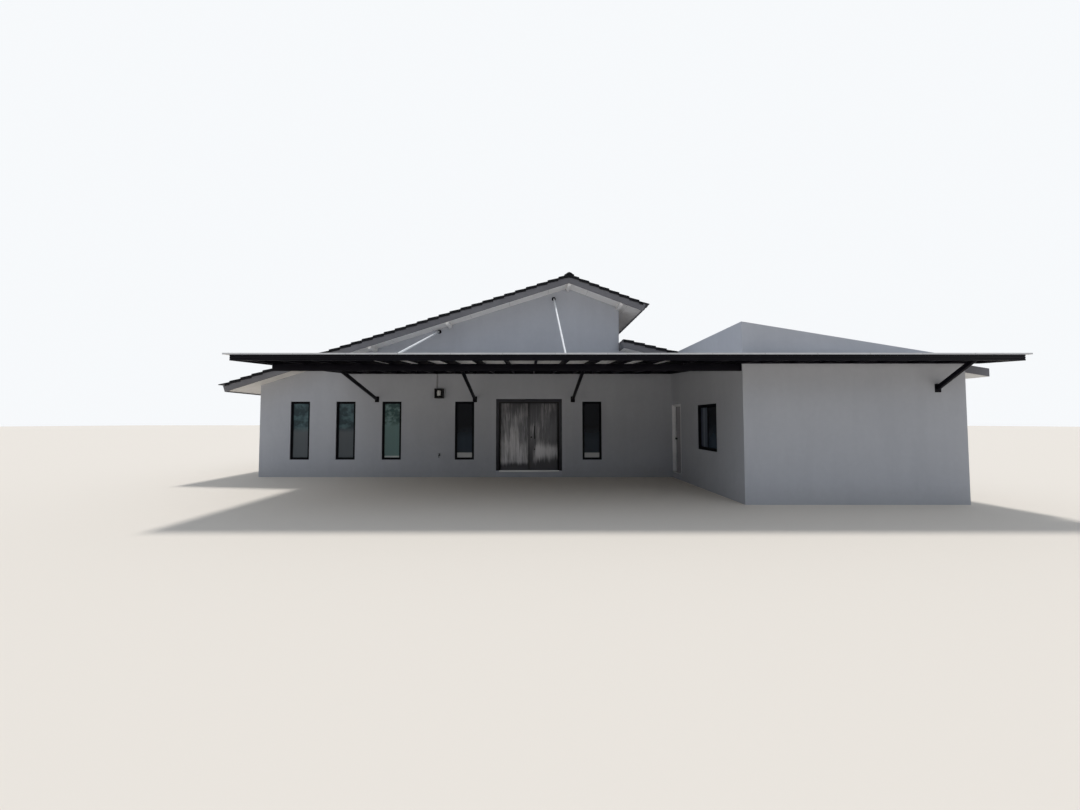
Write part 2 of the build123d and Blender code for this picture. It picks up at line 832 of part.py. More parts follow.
with BuildPart() as main_door_frame:
    with BuildSketch(facing_front(inner_y)):
        outline(
            (-door_half, floor_level), (-door_half, door_head),
            (door_half, door_head), (door_half, floor_level),
            (stop_half, floor_level), (stop_half, door_head - door_frame_face),
            (-stop_half, door_head - door_frame_face), (-stop_half, floor_level),
        )
    extrude(amount=wall_thickness)
    with BuildSketch(facing_front(leaf_y0 - leaf_gap)):
        outline(
            (-stop_half, floor_level), (-stop_half, door_head - door_frame_face),
            (stop_half, door_head - door_frame_face), (stop_half, floor_level),
            (stop_half - door_stop, floor_level),
            (stop_half - door_stop, door_head - door_frame_face - door_stop),
            (door_stop - stop_half, door_head - door_frame_face - door_stop),
            (door_stop - stop_half, floor_level),
        )
    extrude(amount=leaf_thickness)
    for side in (-1, 1):
        knuckles(side * hinge_x, side, 0, hinge_length / 2)
main_door_frame.part.label = "main_door_frame"


def main_leaf(side):
    """Door leaf on one side of the middle, with its hinge knuckles."""
    x0, x1 = sorted((side * leaf_gap / 2, side * leaf_outer))
    block(x0, x1, leaf_y0, inner_y, leaf_foot, leaf_head)
    knuckles(side * hinge_x, -side, hinge_length / 2 + running_gap, hinge_length)


with BuildPart() as main_door_leaf_left:
    main_leaf(-1)
main_door_leaf_left.part.label = "main_door_leaf_left"

with BuildPart() as main_door_leaf_right:
    main_leaf(1)
main_door_leaf_right.part.label = "main_door_leaf_right"

pull_z = floor_level + pull_height
with BuildPart() as main_door_pull:
    with BuildSketch(Plane.XY.offset(pull_z - pull_length / 2)):
        with Locations((pull_inset, leaf_y0 - pull_standoff)):
            Circle(pull_radius)
    extrude(amount=pull_length)
    with BuildSketch(facing_front(leaf_y0)):
        with Locations((pull_inset, pull_z)):
            with GridLocations(0, pull_post_spread, 1, 2):
                Circle(pull_post_radius)
    extrude(amount=pull_standoff)
main_door_pull.part.label = "main_door_pull"

lock_z = floor_level + lock_height
with BuildPart() as main_door_lock:
    with BuildSketch(facing_front(leaf_y0)):
        with Locations((lock_inset, lock_z)):
            Circle(lock_radius)
    extrude(amount=lock_reach)
main_door_lock.part.label = "main_door_lock"

# Side door in the annex, hinged on its front edge and opening inwards
side_inner_x = corner_reach + wall_thickness
side_leaf_x = side_inner_x - leaf_thickness
side_stop_y0 = side_door_y + side_frame_face
side_stop_y1 = front_y - side_frame_face
side_hinge_y = side_stop_y0 + leaf_gap / 2
side_hinge_x = side_inner_x + hinge_radius + running_gap


def side_knuckles(side, low, high):
    """Hinge knuckles of the side door, with a flap towards one side."""
    for hinge_z in hinge_heights:
        z = floor_level + hinge_z + low
        with BuildSketch(Plane.XY.offset(z)) as profile:
            with Locations((side_hinge_x, side_hinge_y)):
                Circle(hinge_radius)
            with Locations((side_inner_x + hinge_flap_thickness / 2, side_hinge_y + side * hinge_flap / 2)):
                Rectangle(hinge_flap_thickness, hinge_flap)
        extrude(profile.sketch, amount=high - low)


with BuildPart() as side_door_frame:
    with BuildSketch(facing_right(corner_reach)):
        outline(
            (side_door_y, floor_level), (side_door_y, side_head),
            (front_y, side_head), (front_y, floor_level),
            (side_stop_y1, floor_level), (side_stop_y1, side_head - side_frame_face),
            (side_stop_y0, side_head - side_frame_face), (side_stop_y0, floor_level),
        )
    extrude(amount=wall_thickness)
    with BuildSketch(facing_right(side_leaf_x - leaf_gap - leaf_thickness)):
        outline(
            (side_stop_y0, floor_level), (side_stop_y0, side_head - side_frame_face),
            (side_stop_y1, side_head - side_frame_face), (side_stop_y1, floor_level),
            (side_stop_y1 - side_stop, floor_level),
            (side_stop_y1 - side_stop, side_head - side_frame_face - side_stop),
            (side_stop_y0 + side_stop, side_head - side_frame_face - side_stop),
            (side_stop_y0 + side_stop, floor_level),
        )
    extrude(amount=leaf_thickness)
    side_knuckles(-1, 0, hinge_length / 2)
side_door_frame.part.label = "side_door_frame"

with BuildPart() as side_door_leaf:
    block(
        side_leaf_x, side_inner_x, side_stop_y0 + leaf_gap, side_stop_y1 - leaf_gap,
        leaf_foot, side_head - side_frame_face - leaf_gap,
    )
    side_knuckles(1, hinge_length / 2 + running_gap, hinge_length)
side_door_leaf.part.label = "side_door_leaf"

with BuildPart() as side_door_knob:
    with BuildSketch(facing_right(side_leaf_x)):
        with Locations((side_stop_y1 - leaf_gap - side_knob_inset, floor_level + side_knob_height)):
            Circle(side_knob_radius)
    extrude(amount=-side_knob_reach)
side_door_knob.part.label = "side_door_knob"

# Lamp, its conduit and the tap, all on the front wall
lamp_half = lamp_width / 2
lamp_z = porch_level + lamp_height
lamp_foot = lamp_z - lamp_body_height / 2
lamp_head = lamp_z + lamp_body_height / 2
lamp_middle_y = front_y - (lamp_depth + lamp_bar) / 2
socket_z = lamp_foot + lamp_bar
tap_z = porch_level + tap_height
with BuildPart() as wall_lamp:
    block(lamp_x - lamp_half, lamp_x + lamp_half, front_y - lamp_depth, front_y, lamp_foot, lamp_head)
    block(
        lamp_x - lamp_half + lamp_bar, lamp_x + lamp_half - lamp_bar,
        front_y - lamp_depth, front_y - lamp_bar, socket_z, lamp_head - lamp_bar,
        mode=Mode.SUBTRACT,
    )
    with BuildSketch(Plane.XY.offset(socket_z)):
        with Locations((lamp_x, lamp_middle_y)):
            Circle(socket_radius)
    extrude(amount=socket_height)
wall_lamp.part.label = "wall_lamp"

with BuildPart() as lamp_glass:
    with BuildSketch(Plane.XY.offset(socket_z + socket_height)):
        with Locations((lamp_x, lamp_middle_y)):
            Circle(drum_radius)
    extrude(amount=lamp_body_height - 2 * lamp_bar - socket_height)
lamp_glass.part.label = "lamp_glass"

with BuildPart() as lamp_conduit:
    with BuildSketch(Plane.XY.offset(lamp_head)):
        with Locations((conduit_x, front_y - conduit_radius)):
            Circle(conduit_radius)
    extrude(amount=awning_under(back_beam_y) - lamp_head)
lamp_conduit.part.label = "lamp_conduit"

tap_end_y = front_y - tap_reach + tap_radius + tap_collar
stem_y = front_y - tap_stem_reach
with BuildPart() as garden_tap:
    with BuildSketch(facing_front(front_y)):
        with Locations((tap_x, tap_z)):
            Circle(tap_flange_radius)
    extrude(amount=tap_flange_thickness)
    with BuildSketch(facing_front(front_y)):
        with Locations((tap_x, tap_z)):
            Circle(tap_radius)
    extrude(amount=tap_reach)
    with BuildSketch(Plane.XY.offset(tap_z - tap_drop)):
        with Locations((tap_x, tap_end_y)):
            Circle(tap_spout_radius)
    extrude(amount=tap_drop)
    with BuildSketch(Plane.XY.offset(tap_z - tap_drop)):
        with Locations((tap_x, tap_end_y)):
            Circle(tap_spout_radius + tap_collar)
    extrude(amount=tap_collar_height)
    with BuildSketch(Plane.XY.offset(tap_z)):
        with Locations((tap_x, stem_y)):
            Circle(tap_stem_radius)
    extrude(amount=tap_stem_height)
    with BuildSketch(Plane.XY.offset(tap_z + tap_stem_height)):
        with Locations((tap_x, stem_y)):
            SlotOverall(tap_lever, tap_lever_width)
    extrude(amount=tap_lever_thickness)
garden_tap.part.label = "garden_tap"

sub_parts = (
    floor_slab, annex_floor,
    front_wall_left, front_wall_over_door, front_wall_right, party_wall,
    back_wall, left_wall, right_wall, clerestory_wall,
    left_roof_deck, left_roof_tiles, upper_roof_deck, upper_roof_tiles, lower_roof_deck, lower_roof_tiles,
    ridge_cap, left_verge_boards, upper_verge_boards, lower_verge_boards, eave_boards,
    upper_soffit, lower_soffit, purlin_ends,
    annex_side_wall, annex_wall_over_door, annex_front_wall, annex_right_wall,
    annex_roof_deck, annex_coping, annex_eave_box,
    awning_front_beam, awning_side_beams, awning_wall_beams, awning_corner_beam, awning_main_beam,
    awning_rafters, awning_deck, wall_braces, brace_plates,
    tie_rods, tie_rod_wall_brackets, tie_rod_deck_brackets,
    narrow_window_frames, narrow_window_glass, wide_window_frames, wide_window_glass,
    main_door_frame, main_door_leaf_left, main_door_leaf_right, main_door_pull, main_door_lock,
    side_door_frame, side_door_leaf, side_door_knob,
    wall_lamp, lamp_glass, lamp_conduit, garden_tap,
)

os.makedirs("parts", exist_ok=True)
for sub_part in sub_parts:
    export_step(sub_part.part, f"parts/{sub_part.part.label}.step")
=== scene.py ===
# %% [markdown]
# # A bungalow with a hung steel awning
#
# The walls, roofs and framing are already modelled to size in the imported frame. This lesson dresses them:
# it lays real tiles on the roofs, fits the windows and the doors with their furniture, and gives every
# surface a finish of its own. All lengths are in metres, +X is to the right, +Y to the back and +Z up.

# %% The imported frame
import math
import random

import bpy
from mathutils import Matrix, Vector


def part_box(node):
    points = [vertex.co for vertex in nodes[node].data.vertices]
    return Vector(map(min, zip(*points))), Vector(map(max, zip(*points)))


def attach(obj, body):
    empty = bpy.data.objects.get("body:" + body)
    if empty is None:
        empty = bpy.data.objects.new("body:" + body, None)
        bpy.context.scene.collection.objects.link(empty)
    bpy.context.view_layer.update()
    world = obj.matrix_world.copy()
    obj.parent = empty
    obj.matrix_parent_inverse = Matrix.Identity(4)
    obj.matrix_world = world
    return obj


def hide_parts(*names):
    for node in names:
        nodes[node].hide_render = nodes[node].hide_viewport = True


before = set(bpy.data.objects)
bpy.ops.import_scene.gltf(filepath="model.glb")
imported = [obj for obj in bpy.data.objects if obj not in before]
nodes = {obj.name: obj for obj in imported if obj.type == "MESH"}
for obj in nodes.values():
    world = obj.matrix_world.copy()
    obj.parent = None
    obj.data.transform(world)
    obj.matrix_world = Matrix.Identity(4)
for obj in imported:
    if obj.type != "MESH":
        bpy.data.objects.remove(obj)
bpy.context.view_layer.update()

# %% [markdown]
# The camera stands where the photograph was taken from: in line with the main door and at the height of an
# eye, with a very wide lens that looks up a little. The picture's axis is slightly left of its middle, which
# is what a small sideways shift does. Turning the camera instead would let the front's level edges run
# together to one side.

# %% Camera
scene = bpy.context.scene
scene.view_settings.view_transform = "Standard"

front_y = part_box("front_wall_left")[0].y
camera_distance = 12.844
camera_height = 1.713
camera_tilt = 2.373
camera_data = bpy.data.cameras.new("camera")
camera_data.sensor_width = 36
camera_data.lens = 13.667
camera_data.shift_x = 0.0102
camera = bpy.data.objects.new("camera", camera_data)
camera.location = (0, front_y - camera_distance, camera_height)
camera.rotation_euler = (math.radians(90 + camera_tilt), 0, 0)
scene.collection.objects.link(camera)
scene.camera = camera
print("camera", [round(place, 3) for place in camera.location])

# %% [markdown]
# In the daylight of the photograph the front is in shade, and the bright ground lights it from below. A pale
# world that is stronger overhead than along the horizon does half of that work, a soft sun stands high
# behind the house, and a pale warm floor throws light back under the awning. Rays that the camera or a
# mirror-like surface sends see a white sky instead, so the sky can be white without more light on the house.

# %% Light
world = bpy.data.worlds.new("daylight")
scene.world = world
world.use_nodes = True
sky = world.node_tree
seen = sky.nodes.new("ShaderNodeBackground")
seen.inputs["Color"].default_value = (0.93, 0.95, 0.97, 1)
seen.inputs["Strength"].default_value = 1
lighting = sky.nodes["Background"]
lighting.inputs["Color"].default_value = (0.86, 0.95, 1.08, 1)
horizon_light = 0.1
overhead_light = 0.7
overhead_from = 0.62
direction = sky.nodes.new("ShaderNodeTexCoord").outputs["Generated"]
split = sky.nodes.new("ShaderNodeSeparateXYZ")
sky.links.new(direction, split.inputs[0])
strength = sky.nodes.new("ShaderNodeMapRange")
strength.interpolation_type = "SMOOTHSTEP"
strength.inputs["From Max"].default_value = overhead_from
strength.inputs["To Min"].default_value = horizon_light
strength.inputs["To Max"].default_value = overhead_light
sky.links.new(split.outputs["Z"], strength.inputs["Value"])
sky.links.new(strength.outputs[0], lighting.inputs["Strength"])
paths = sky.nodes.new("ShaderNodeLightPath")
shown = paths.outputs["Is Camera Ray"]
for ray in ("Is Glossy Ray", "Is Transmission Ray"):
    either = sky.nodes.new("ShaderNodeMath")
    either.operation = "MAXIMUM"
    sky.links.new(shown, either.inputs[0])
    sky.links.new(paths.outputs[ray], either.inputs[1])
    shown = either.outputs[0]
choice = sky.nodes.new("ShaderNodeMixShader")
sky.links.new(shown, choice.inputs["Fac"])
sky.links.new(lighting.outputs[0], choice.inputs[1])
sky.links.new(seen.outputs[0], choice.inputs[2])
sky.links.new(choice.outputs[0], sky.nodes["World Output"].inputs["Surface"])

sun_lean = (-24, 2, 0)
sun_data = bpy.data.lights.new("sun", "SUN")
sun_data.energy = 2.3
sun_data.angle = math.radians(7)
sun = bpy.data.objects.new("sun", sun_data)
sun.rotation_euler = [math.radians(angle) for angle in sun_lean]
scene.collection.objects.link(sun)
print("sun", sun_data.energy, "world from", horizon_light, "to", overhead_light)


# %% [markdown]
# Every new piece starts from a primitive at its size and place. The helpers below do what the hand does in
# the window: leave edit mode, deselect all, and pick faces or vertices by where they are. Two limits say
# what counts as the same place, and from which share of its normal a face looks along an axis.

# %% Selecting and naming
near = 0.001
face_on = 0.9


def deselect():
    """Leave edit mode and deselect every object."""
    if bpy.context.object and bpy.context.object.mode != "OBJECT":
        bpy.ops.object.mode_set(mode="OBJECT")
    bpy.ops.object.select_all(action="DESELECT")


def hold(piece):
    """Make a piece the only selected and active object."""
    deselect()
    piece.select_set(True)
    bpy.context.view_layer.objects.active = piece


def named(name):
    """Name the new primitive, put its place into its mesh, and return it."""
    piece = bpy.context.object
    piece.name = name
    bpy.ops.object.transform_apply(location=True, rotation=True, scale=True)
    return piece


def pick(piece, kind, test):
    """Open a piece in edit mode with the vertices or faces selected that pass a test on their place."""
    hold(piece)
    bpy.context.tool_settings.mesh_select_mode = (kind == "VERT", False, kind == "FACE")
    mesh = piece.data
    for items in (mesh.vertices, mesh.edges, mesh.polygons):
        items.foreach_set("select", [False] * len(items))
    if kind == "VERT":
        for corner in mesh.vertices:
            corner.select = test(corner.co)
    else:
        for face in mesh.polygons:
            face.select = test(face.center, face.normal)
    bpy.ops.object.mode_set(mode="EDIT")


def everything(middle, normal):
    """Test that every face passes."""
    return True


print("selecting helpers ready")


# %% [markdown]
# Most parts of a house are straight: boards, bars and frames. They start as a block between two corners, get
# their shape by moving an end or opening a hole, and get a fine rounding along their edges, because no
# real edge is sharp and it is the rounding that catches the light.

# %% Shaping straight parts
sharp_angle = math.radians(40)


def block(name, corner, opposite):
    """Block between two opposite corners."""
    deselect()
    low = Vector(map(min, corner, opposite))
    high = Vector(map(max, corner, opposite))
    bpy.ops.mesh.primitive_cube_add(size=1, location=(low + high) / 2, scale=high - low)
    return named(name)


def move(piece, test, offset):
    """Move the vertices that pass a test."""
    pick(piece, "VERT", test)
    bpy.ops.transform.translate(value=offset)
    bpy.ops.object.mode_set(mode="OBJECT")


def ring(name, corner, opposite, axis, face):
    """Block with a hole right through it along an axis, so that a frame of an even face is left."""
    piece = block(name, corner, opposite)
    pick(piece, "FACE", lambda middle, normal: abs(normal[axis]) > face_on)
    bpy.ops.mesh.inset(thickness=face, depth=0)
    bpy.ops.mesh.bridge_edge_loops()
    bpy.ops.object.mode_set(mode="OBJECT")
    return piece


def modify(piece, kind, **settings):
    """Add a modifier and apply it."""
    hold(piece)
    modifier = piece.modifiers.new(kind.title(), kind)
    for setting, value in settings.items():
        setattr(modifier, setting, value)
    bpy.ops.object.modifier_apply(modifier=modifier.name)


def smooth(piece):
    """Shade a piece smooth except across its sharp edges."""
    hold(piece)
    bpy.ops.object.shade_smooth_by_angle(angle=sharp_angle)


def ease(piece, width, segments=2):
    """Round the sharp edges by a small bevel."""
    modify(piece, "BEVEL", width=width, segments=segments, limit_method="ANGLE", harden_normals=False)
    smooth(piece)


def repeat(piece, count, offset):
    """Copy a piece in a row, by an Array modifier with a fixed step."""
    modify(
        piece, "ARRAY", count=count, use_relative_offset=False, use_constant_offset=True,
        constant_offset_displace=offset,
    )


def outwards(piece):
    """Point a closed piece's faces outwards."""
    pick(piece, "FACE", everything)
    bpy.ops.mesh.normals_make_consistent(inside=False)
    bpy.ops.object.mode_set(mode="OBJECT")


def cut(piece, place, away):
    """Cut a piece by a plane and drop what lies on the side that the plane faces."""
    pick(piece, "FACE", everything)
    bpy.ops.mesh.bisect(plane_co=place, plane_no=away, clear_outer=True, use_fill=True)
    bpy.ops.object.mode_set(mode="OBJECT")


def join(name, pieces):
    """Join pieces into one."""
    hold(pieces[0])
    for piece in pieces[1:]:
        piece.select_set(True)
    bpy.ops.object.join()
    pieces[0].name = name
    return pieces[0]


print("shaping helpers ready")


# %% [markdown]
# The frame's own nodes say where windows, plates and brackets are. A copy of a node, merged and taken apart
# into its separate solids, gives their corners, so no place is written twice. A merged copy can also be
# eased and stand for its node, where the solid has the right shape and only its edges are too sharp.

# %% Reading and copying the frame
merge_distance = 0.00005
flat_angle = math.radians(1)


def merged(name, node):
    """Copy of a CAD node with its loose triangles merged into plain faces."""
    piece = bpy.data.objects.new(name, nodes[node].data.copy())
    scene.collection.objects.link(piece)
    pick(piece, "FACE", everything)
    bpy.ops.mesh.remove_doubles(threshold=merge_distance)
    bpy.ops.mesh.dissolve_limited(angle_limit=flat_angle)
    bpy.ops.object.mode_set(mode="OBJECT")
    return piece


def solids(node):
    """Lowest and highest corners of each separate solid in a CAD node, from left to right."""
    piece = merged("solids", node)
    pick(piece, "FACE", everything)
    bpy.ops.mesh.separate(type="LOOSE")
    bpy.ops.object.mode_set(mode="OBJECT")
    corners = []
    for part in list(bpy.context.selected_objects):
        places = [corner.co.copy() for corner in part.data.vertices]
        low = Vector(min(place[axis] for place in places) for axis in range(3))
        high = Vector(max(place[axis] for place in places) for axis in range(3))
        corners.append((low, high))
        bpy.data.objects.remove(part)
    print(node, len(corners), "solids")
    return sorted(corners, key=lambda pair: tuple(pair[0]))


def fit(piece, finish, body="house", replaced=()):
    """Give a finished piece its material, and put it on a body in place of CAD nodes."""
    piece.data.materials.clear()
    piece.data.materials.append(finish.material)
    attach(piece, body)
    if replaced:
        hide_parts(*replaced)
    print(piece.name, "faces", len(piece.data.polygons))


def restore(name, node, width, finish, body="house"):
    """Let an eased copy stand for a CAD node. A width of 0 only makes its round faces smooth."""
    piece = merged(name, node)
    if width:
        ease(piece, width)
    else:
        smooth(piece)
    fit(piece, finish, body, [node])


def dress(finish, *names):
    """Give CAD nodes a finish."""
    for name in names:
        nodes[name].material_slots[0].material = finish.material


print("frame helpers ready")


# %% [markdown]
# A pattern in a material is arithmetic on places and noise. It could be wired by hand in the node editor, but
# shader maths reads best as plain expressions, so a value wraps a socket, and adding or multiplying values
# adds the Math nodes.

# %% Values in a shader
class Value:
    """A number in a shader that changes over the surface."""

    def __init__(self, finish, socket):
        self.finish = finish
        self.socket = socket

    def maths(self, operation, *terms):
        """One Math node, whose terms are values or numbers."""
        return self.finish.node("Math", {"operation": operation}, dict(enumerate(terms)))

    def __add__(self, other):
        return self.maths("ADD", self, other)

    __radd__ = __add__

    def __sub__(self, other):
        return self.maths("SUBTRACT", self, other)

    def __rsub__(self, other):
        return self.maths("SUBTRACT", other, self)

    def __mul__(self, other):
        return self.maths("MULTIPLY", self, other)

    __rmul__ = __mul__

    def __truediv__(self, other):
        return self.maths("DIVIDE", self, other)

    def __abs__(self):
        return self.maths("ABSOLUTE", self)

    def cell(self):
        """The part after the point, so that a pattern starts again at each whole number."""
        return self.maths("FRACT", self)

    def ramp(self, low, high):
        """0 at or below low, 1 at or above high, and smooth between."""
        settings = {"interpolation_type": "SMOOTHSTEP"}
        return self.finish.node("MapRange", settings, {"Value": self, "From Min": low, "From Max": high})


print("values ready")


# %% [markdown]
# A finish is one material. Its patterns come first, then its colours, and then how rough and uneven it is.
# They read the place in the object's own coordinates, which are those of the house, so a pattern runs on
# from one piece to the next. One method makes any kind of node.

# %% Finishes
class Finish:
    """One material. Its parts are nodes, and its shader's own sockets are set by name."""

    def __init__(self, name, **surface):
        self.material = bpy.data.materials.new(name)
        self.material.use_nodes = True
        self.tree = self.material.node_tree
        self.shader = self.tree.nodes["Principled BSDF"]
        self.place = Value(self, self.tree.nodes.new("ShaderNodeTexCoord").outputs["Object"])
        self.set(**surface)

    def node(self, kind, settings, inputs, output=0):
        """Make a node: its settings first, then the values or links of its sockets. Return one output."""
        made = self.tree.nodes.new("ShaderNode" + kind)
        for name, value in settings.items():
            setattr(made, name, value)
        for name, value in inputs.items():
            self.feed(made.inputs[name], value)
        return Value(self, made.outputs[output])

    def feed(self, socket, value):
        """Link a value to a socket, or set the socket to a number or a colour."""
        if isinstance(value, Value):
            self.tree.links.new(value.socket, socket)
        elif isinstance(value, tuple) and len(value) == 3 and socket.type == "RGBA":
            socket.default_value = (*value, 1)
        else:
            socket.default_value = value

    def set(self, **surface):
        """Set the shader's sockets: base_color stands for Base Color."""
        for name, value in surface.items():
            self.feed(self.shader.inputs[name.replace("_", " ").title().replace("Ior", "IOR")], value)

    def axis(self, letter):
        """The place along one axis."""
        return self.node("SeparateXYZ", {}, {"Vector": self.place}, letter)

    def facing(self, letter):
        """How far the surface faces along one axis, from -1 to 1."""
        normal = self.node("NewGeometry", {}, {}, "Normal")
        return self.node("SeparateXYZ", {}, {"Vector": normal}, letter)

    def upper(self):
        """0 on an underside and 1 elsewhere."""
        return self.facing("Z").ramp(-0.6, -0.4)

    def noise(self, scale, detail=3, rough=0.5, stretch=(1, 1, 1)):
        """Soft noise, drawn out along each axis whose stretch is small."""
        place = self.node("Mapping", {}, {"Vector": self.place, "Scale": stretch})
        inputs = {"Vector": place, "Scale": scale, "Detail": detail, "Roughness": rough}
        return self.node("TexNoise", {}, inputs)

    def mix(self, share, first, second):
        """Colour between two others."""
        return self.node("Mix", {"data_type": "RGBA"}, {"Factor": share, 6: first, 7: second}, 2)

    def patchy(self, noise, dark, light, high=0.7):
        """Colour that drifts from dark to light with a noise."""
        return self.mix(noise.ramp(0.3, high), dark, light)

    def lines(self, place, pitch, width):
        """1 on fine lines across an axis, one at each pitch, and 0 between them."""
        middle = abs((place / pitch).cell() - 0.5)
        return 1 - middle.ramp(width / pitch / 2, width / pitch)

    def bump(self, height, distance, strength=1):
        """Let a height tilt the surface's light."""
        self.set(normal=self.node("Bump", {}, {"Height": height, "Distance": distance, "Strength": strength}))


print("finishes ready")

# %% [markdown]
# The walls are block with a painted render. Seen close it is a fine sand texture with the long flat waves of
# the float, and seen from far it is an even grey with faint clouds. Rain washes pale and dark streaks down
# it, and splashes dust on the lowest half metre. Sand this fine is only bump, since no outline shows it.

# %% Wall render
render_dark = (0.435, 0.447, 0.48)
render_light = (0.49, 0.503, 0.536)
splash_colour = (0.36, 0.35, 0.33)
render = Finish("wall render")
clouds = render.noise(0.45, 4, 0.55)
mottle = render.noise(9, 3)
runs = render.noise(3.2, 3, 0.6, (1, 1, 0.12))
splash = (1 - (render.axis("Z") + mottle * 0.25).ramp(0.2, 0.62)) * clouds
shade = (clouds * 0.6 + mottle * 0.22 + runs * 0.3).ramp(0.35, 0.8)
paint = render.mix(shade, render_dark, render_light)
render.set(base_color=render.mix(splash * 0.35, paint, splash_colour), roughness=0.8 + mottle * 0.12)
sand = render.noise(260, 2)
float_marks = render.noise(7, 2, 0.5, (1, 1, 1.6))
render.bump(sand * 0.25 + float_marks, 0.006, 0.35)
dress(
    render, "front_wall_left", "front_wall_over_door", "front_wall_right", "party_wall", "back_wall",
    "left_wall", "right_wall", "clerestory_wall", "annex_side_wall", "annex_wall_over_door",
    "annex_front_wall", "annex_right_wall", "annex_coping",
)
print("walls dressed")

# %% [markdown]
# The soffits and the purlin ends under them are painted off-white. Flat boards meet at fine joints, which are
# only a shallow groove in the paint, so lines in the material do for them.

# %% Soffit paint
soffit_board_width = 1.2
soffit_joint_width = 0.006
soffit = Finish("soffit paint", roughness=0.6)
board_joint = soffit.lines(soffit.axis("X"), soffit_board_width, soffit_joint_width)
stains = soffit.noise(1.6, 4, 0.6)
soffit_colour = soffit.mix(stains.ramp(0.35, 0.75), (0.86, 0.82, 0.77), (0.94, 0.91, 0.87))
soffit.set(base_color=soffit.mix(board_joint * 0.5, soffit_colour, (0.32, 0.31, 0.29)))
soffit.bump(soffit.noise(40, 2) * 0.15 - board_joint, 0.003, 0.5)
dress(soffit, "upper_soffit", "lower_soffit")
restore("purlin_tails", "purlin_ends", 0.003, soffit)

# %% [markdown]
# Charcoal fibre boards close the roof's edges. Their paint fades a little, and shows the board's fine grain.
# Their ends at the eaves are cut square to the slope, so on a copy of each node the upper corners are
# moved outwards along the slope, until the end leans as far as the slope does.

# %% Verge and eave boards
verge = Finish("verge board paint")
board_grain = verge.noise(30, 3, 0.6, (0.12, 0.12, 1.6))
fade = verge.noise(1.2, 3)
verge.set(base_color=verge.patchy(fade, (0.13, 0.127, 0.137), (0.18, 0.177, 0.187), 0.75))
verge.set(roughness=0.55 + board_grain * 0.2)
verge.bump(board_grain, 0.003, 0.5)
tile_depth = 0.06
eaves = []
for layer, boards, out in (
    ("left_roof_tiles", "left_verge_boards", -1), ("upper_roof_tiles", "upper_verge_boards", 1),
    ("lower_roof_tiles", "lower_verge_boards", 1),
):
    low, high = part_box(layer)
    board_low, board_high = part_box(boards)
    fall = (high.z - low.z - tile_depth) / (high.x - low.x)
    eaves.append((boards, board_low.x if out < 0 else board_high.x, board_low.z, out, fall))
plank_height = 0.235
plank_end = 0.03


def square_end(piece, end_x, foot_z, out, fall):
    """Lean the end of a board at the eave, so that it is square to a slope of the given fall."""
    lean = plank_height * fall / (1 + fall ** 2)
    middle_z = foot_z + plank_height / 2
    offset = (out * lean, 0, -lean * fall)
    move(piece, lambda place: abs(place.x - end_x) < plank_end and place.z > middle_z, offset)


eave_planks = merged("eave_planks", "eave_boards")
for boards, *end in eaves:
    square_end(eave_planks, *end)
    planks = merged(boards.replace("boards", "planks"), boards)
    square_end(planks, *end)
    ease(planks, 0.002)
    fit(planks, verge, replaced=[boards])
ease(eave_planks, 0.002)
fit(eave_planks, verge, replaced=["eave_boards"])

# %% [markdown]
# The roofs are laid with charcoal concrete tiles. Each tile is a flat pan with a roll at its sides, laps
# the one below, and has its lower edge lifted by a little more than its own thickness, which draws the
# steps that show along the verge. A bump on the plain slope would have no steps in its outline, so the
# tiles are real.

# %% Tile sizes
tile_cover = 0.3
tile_gauge = 0.34
tile_lap = 0.03
tile_lift = 0.022
tile_thickness = 0.016
tile_profile = (0, -0.004, -0.013, -0.018, -0.018, -0.018, -0.018, -0.018, -0.013, -0.004, -0.002)
lap_share = 1 + tile_lap / tile_gauge
print("a tile covers", tile_cover, "by", tile_gauge)


# %% [markdown]
# A course is a whole row of tiles, and a slope has as many courses as fit its length best. Field tiles and
# ridge tiles start alike, as a level sheet that a profile lowers in places, and then get their thickness.
# Each tile also gets a number of its own, from which its finish takes its shade.

# %% Shaping tiles
def courses(eave, head):
    """Number of courses on a slope, and the step from each to the next."""
    rows = round(math.hypot(head[0] - eave[0], head[1] - eave[1]) / tile_gauge)
    return rows, Vector(((head[0] - eave[0]) / rows, 0, (head[1] - eave[1]) / rows))


def profiled(name, low, high, across, profile):
    """Level sheet between two corners, lowered by a profile's depths across one axis."""
    spans = [1, 1]
    spans[across] = len(profile) - 1
    size = [end - start for start, end in zip(low, high)]
    middle = [(start + end) / 2 for start, end in zip(low, high)]
    deselect()
    bpy.ops.mesh.primitive_grid_add(x_subdivisions=spans[0], y_subdivisions=spans[1], size=1, location=middle)
    bpy.ops.transform.resize(value=(size[0], size[1], 1))
    piece = named(name)
    for column, fall in enumerate(profile):
        line = low[across] + size[across] * column / spans[across]
        move(piece, lambda place: abs(place[across] - line) < near, (0, 0, fall))
    return piece


def thicken(piece, thickness):
    """Make a sheet a closed shell by a thickness downwards."""
    pick(piece, "FACE", everything)
    bpy.ops.mesh.extrude_region_move(TRANSFORM_OT_translate={"value": (0, 0, -thickness)})
    outwards(piece)


def slant(piece, eave, step, offset):
    """Raise a flat tile's upper end to the slope."""
    beyond = math.copysign(1, step.x)
    middle = eave[0] + step.x / 2
    move(piece, lambda place: (place.x - middle) * beyond > 0, offset)


def vary(piece, tile_count, seed):
    """Give each tile in a piece a shade of its own, as a number on its faces."""
    draw = random.Random(seed)
    shades = [draw.random() for _ in range(tile_count)]
    faces = len(piece.data.polygons)
    shade = piece.data.attributes.new("shade", "FLOAT", "FACE")
    shade.data.foreach_set("value", [shades[face * tile_count // faces] for face in range(faces)])


print("tile helpers ready")


